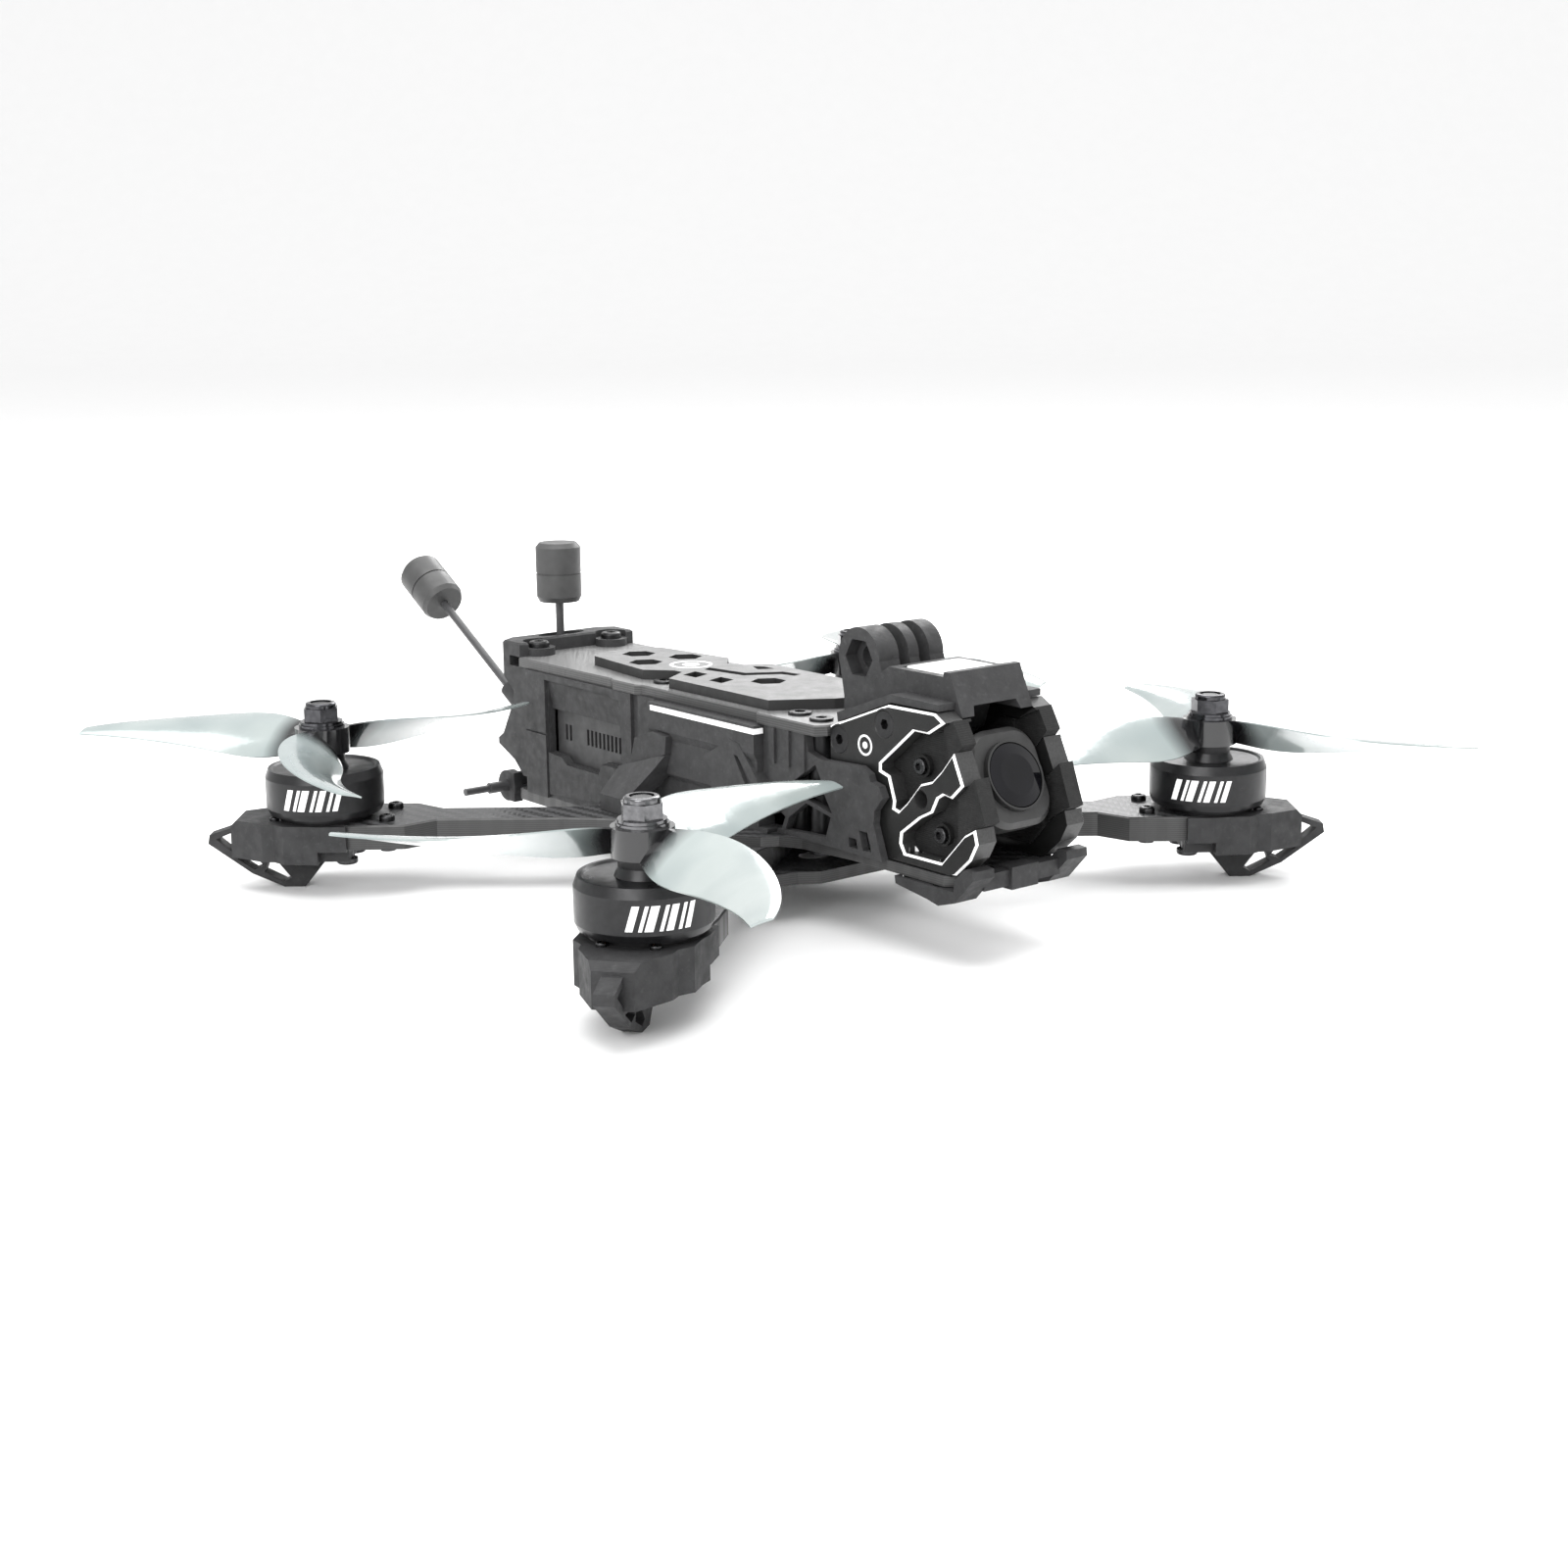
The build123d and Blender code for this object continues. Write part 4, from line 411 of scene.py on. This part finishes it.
dress(moulded("sleeve", (0.02, 0.02, 0.03), 0.25, 0.5), "capacitor")
dress(anodised("laminations", (0.16, 0.15, 0.14), 0.4, 0.8), "stator_cores")


# ---- helpers for added pieces ---------------------------------------------------------------------
def piece(name, mesh, material, body):
    """A finished mesh as a named piece that rides on a body."""
    made = bpy.data.objects.new(name, mesh)
    bpy.context.scene.collection.objects.link(made)
    mesh.materials.append(material)
    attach(made, body)
    return made


def mesh_from(name, bm, smooth=False):
    bmesh.ops.recalc_face_normals(bm, faces=bm.faces)
    mesh = bpy.data.meshes.new(name)
    bm.to_mesh(mesh)
    bm.free()
    for polygon in mesh.polygons:
        polygon.use_smooth = smooth
    return mesh


def coil(bm, centre, outward, half_height, half_width, length, wire, turns):
    """One stator winding: wire laid round a tooth, turn beside turn, as one closed tube."""
    up = Vector((0, 0, 1))
    across = up.cross(outward)
    steps, sides = 16, 6
    rings = []
    for step in range(turns * steps + 1):
        angle = 2 * pi * step / steps
        bulge = max(abs(cos(angle)), abs(sin(angle))) ** -0.6
        spot = centre + outward * (length * (step / (turns * steps) - 0.5))
        spot = spot + across * cos(angle) * half_width * bulge + up * sin(angle) * half_height * bulge
        away = (across * cos(angle) + up * sin(angle)).normalized()
        ring = [bm.verts.new(spot + (away * cos(2 * pi * k / sides) + outward * sin(2 * pi * k / sides)) * wire)
                for k in range(sides)]
        rings.append(ring)
    for first, second in zip(rings, rings[1:]):
        for k in range(sides):
            bm.faces.new((first[k], first[(k + 1) % sides], second[(k + 1) % sides], second[k]))
    bm.faces.new(rings[0])
    bm.faces.new(reversed(rings[-1]))


# ---- windings ---------------------------------------------------------------------------------------
copper_wire = copper("copper_wire")
TEETH = 12
for corner in CORNERS:
    winding = bmesh.new()
    core_low, core_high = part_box("stator_cores")
    middle = (core_low.z + core_high.z) / 2
    for tooth in range(TEETH):
        angle = 2 * pi * tooth / TEETH
        outward = Vector((cos(angle), sin(angle), 0))
        centre = Vector((AXIS[corner].x, AXIS[corner].y, middle)) + outward * 7.9 * MM
        coil(winding, centre, outward, 3.75 * MM, 1.15 * MM, 3.0 * MM, 0.3 * MM, 5)
    piece(f"winding_{corner}", mesh_from(f"winding_{corner}", winding, True), copper_wire, "root")


# ---- plain marks: slanted bars on the bells, a ring and a dot on the camera plates and the pad -------
white_ink = white_with_painted_glow("white_ink", 0.82)
INK = 0.1 * MM
BARS = ((-30, 6.0), (-21, 3.0), (-14, 7.0), (-4, 3.0), (3, 6.0), (12, 3.0), (19, 5.0))
BAR_LOW, BAR_HIGH, BAR_SLANT = 3.2, 8.4, 6.0


def bar(bm, axis, radius, low, high, middle, width):
    """One slanted bar, curved round the bell, as a thin closed strip."""
    rows, columns = 4, 4
    skins = []
    for depth in (0.0, INK):
        grid = []
        for row in range(rows + 1):
            share = row / rows
            lean = BAR_SLANT * (share - 0.5)
            line = []
            for column in range(columns + 1):
                angle = radians(middle + lean + width * (column / columns - 0.5))
                out = Vector((cos(angle), sin(angle), 0)) * (radius + depth)
                line.append(bm.verts.new((axis.x + out.x, axis.y + out.y, low + (high - low) * share)))
            grid.append(line)
        skins.append(grid)
    inner, outer = skins
    for grid in skins:
        for first, second in zip(grid, grid[1:]):
            for k in range(columns):
                bm.faces.new((first[k], first[k + 1], second[k + 1], second[k]))
    for near, far in ((inner[0], outer[0]), (inner[-1], outer[-1])):
        for k in range(columns):
            bm.faces.new((near[k], near[k + 1], far[k + 1], far[k]))
    for column in (0, -1):
        for row in range(rows):
            bm.faces.new((inner[row][column], inner[row + 1][column], outer[row + 1][column], outer[row][column]))


def ring(bm, centre, across, up, inner, outer, steps=48):
    """A flat closed ring, or a disc when its inner radius is nothing."""
    out = across.cross(up)
    loops = []
    for radius, depth in ((outer, 0.0), (outer, INK), (inner, INK), (inner, 0.0)):
        if radius:
            spots = [centre + out * depth + (across * cos(2 * pi * k / steps) + up * sin(2 * pi * k / steps)) * radius
                     for k in range(steps)]
            loops.append([bm.verts.new(spot) for spot in spots])
    if not inner:
        bm.faces.new(loops[0])
        bm.faces.new(loops[1])
    pairs = list(zip(loops, loops[1:])) + ([(loops[-1], loops[0])] if inner else [])
    for first, second in pairs:
        for k in range(steps):
            bm.faces.new((first[k], first[(k + 1) % steps], second[(k + 1) % steps], second[k]))


BAR_FACING = {"front_right": -105, "front_left": -140, "rear_right": -125}
for corner, facing_angle in BAR_FACING.items():
    bell_low, bell_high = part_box(f"bell_{corner}")
    bars = bmesh.new()
    for offset, width in BARS:
        bar(bars, AXIS[corner], (bell_high.x - bell_low.x) / 2, bell_low.z + BAR_LOW * MM,
            bell_low.z + BAR_HIGH * MM, facing_angle + offset, width)
    piece(f"bars_{corner}", mesh_from(f"bars_{corner}", bars), white_ink, f"rotor_{corner}")

EMBLEM_Y, EMBLEM_Z = -56.1, 36.3
for side, hand in (("left", 1), ("right", -1)):
    plate_low, plate_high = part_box(f"cage_plate_{side}")
    face = plate_high.x if hand > 0 else plate_low.x
    emblem = bmesh.new()
    spot = Vector((face, EMBLEM_Y * MM, EMBLEM_Z * MM))
    for inner, outer in ((1.9, 2.4), (0.0, 0.8)):
        ring(emblem, spot, Vector((0, hand, 0)), Vector((0, 0, 1)), inner * MM, outer * MM)
    piece(f"emblem_{side}", mesh_from(f"emblem_{side}", emblem), white_ink, "root")

pad_low, pad_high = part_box("battery_pad")
PAD_EMBLEM_Y = 31.0
pad_mark = bmesh.new()
for inner, outer in ((4.6, 5.5), (0.0, 2.2)):
    ring(pad_mark, Vector((0, PAD_EMBLEM_Y * MM, pad_high.z)), Vector((1, 0, 0)), Vector((0, 1, 0)),
         inner * MM, outer * MM)
piece("pad_emblem", mesh_from("pad_emblem", pad_mark), white_ink, "root")


# ---- floor, lights ------------------------------------------------------------------------------
FLOOR_Z = cad_low.z


def floor_mesh():
    """A wide sheet that curves up far behind the object."""
    bm = bmesh.new()
    reach, radius, wall = 3.0, 1.2, 3.5
    profile = [(-reach * 2, 0.0)] + [(reach + radius * sin(radians(a)), radius * (1 - cos(radians(a))))
                                     for a in range(0, 91, 6)] + [(reach + radius, wall)]
    rows = []
    for along, up in profile:
        rows.append([bm.verts.new((side * 6.0, along, up)) for side in (-1, 1)])
    for first, second in zip(rows, rows[1:]):
        bm.faces.new((first[0], first[1], second[1], second[0]))
    return mesh_from("floor", bm, True)


backdrop = bpy.data.objects.new("floor", floor_mesh())
bpy.context.scene.collection.objects.link(backdrop)
backdrop.rotation_euler = (0, 0, -radians(39))
backdrop.location = (0, 0, FLOOR_Z)
paper = Surface("paper", (0.9, 0.9, 0.9), 0.9)
paper.link(paper.mottle([0.9] * 3, 0.004, 40.0), "Base Color")
backdrop.data.materials.append(paper.material)

world = bpy.data.worlds.new("studio")
bpy.context.scene.world = world
world.use_nodes = True
world.node_tree.nodes["Background"].inputs["Color"].default_value = (1.0, 1.0, 1.0, 1.0)
world.node_tree.nodes["Background"].inputs["Strength"].default_value = 1.05


def soft_light(name, place, target, size, power):
    data = bpy.data.lights.new(name, "AREA")
    data.shape = "RECTANGLE"
    data.size, data.size_y = size
    data.energy = power
    lamp = bpy.data.objects.new(name, data)
    bpy.context.scene.collection.objects.link(lamp)
    lamp.location = place
    aim = Vector(target) - Vector(place)
    lamp.rotation_euler = aim.to_track_quat("-Z", "Y").to_euler()
    return lamp


soft_light("overhead", (0.0, 0.1, 1.1), (0, 0, 0), (1.2, 1.2), 14.0)
soft_light("key", (-0.9, -0.5, 0.55), (0, 0, 0.02), (0.7, 0.5), 6.0)
soft_light("rim", (0.8, 0.5, 0.6), (0, 0, 0.02), (0.8, 0.4), 8.0)

bpy.context.scene.view_settings.view_transform = "Standard"
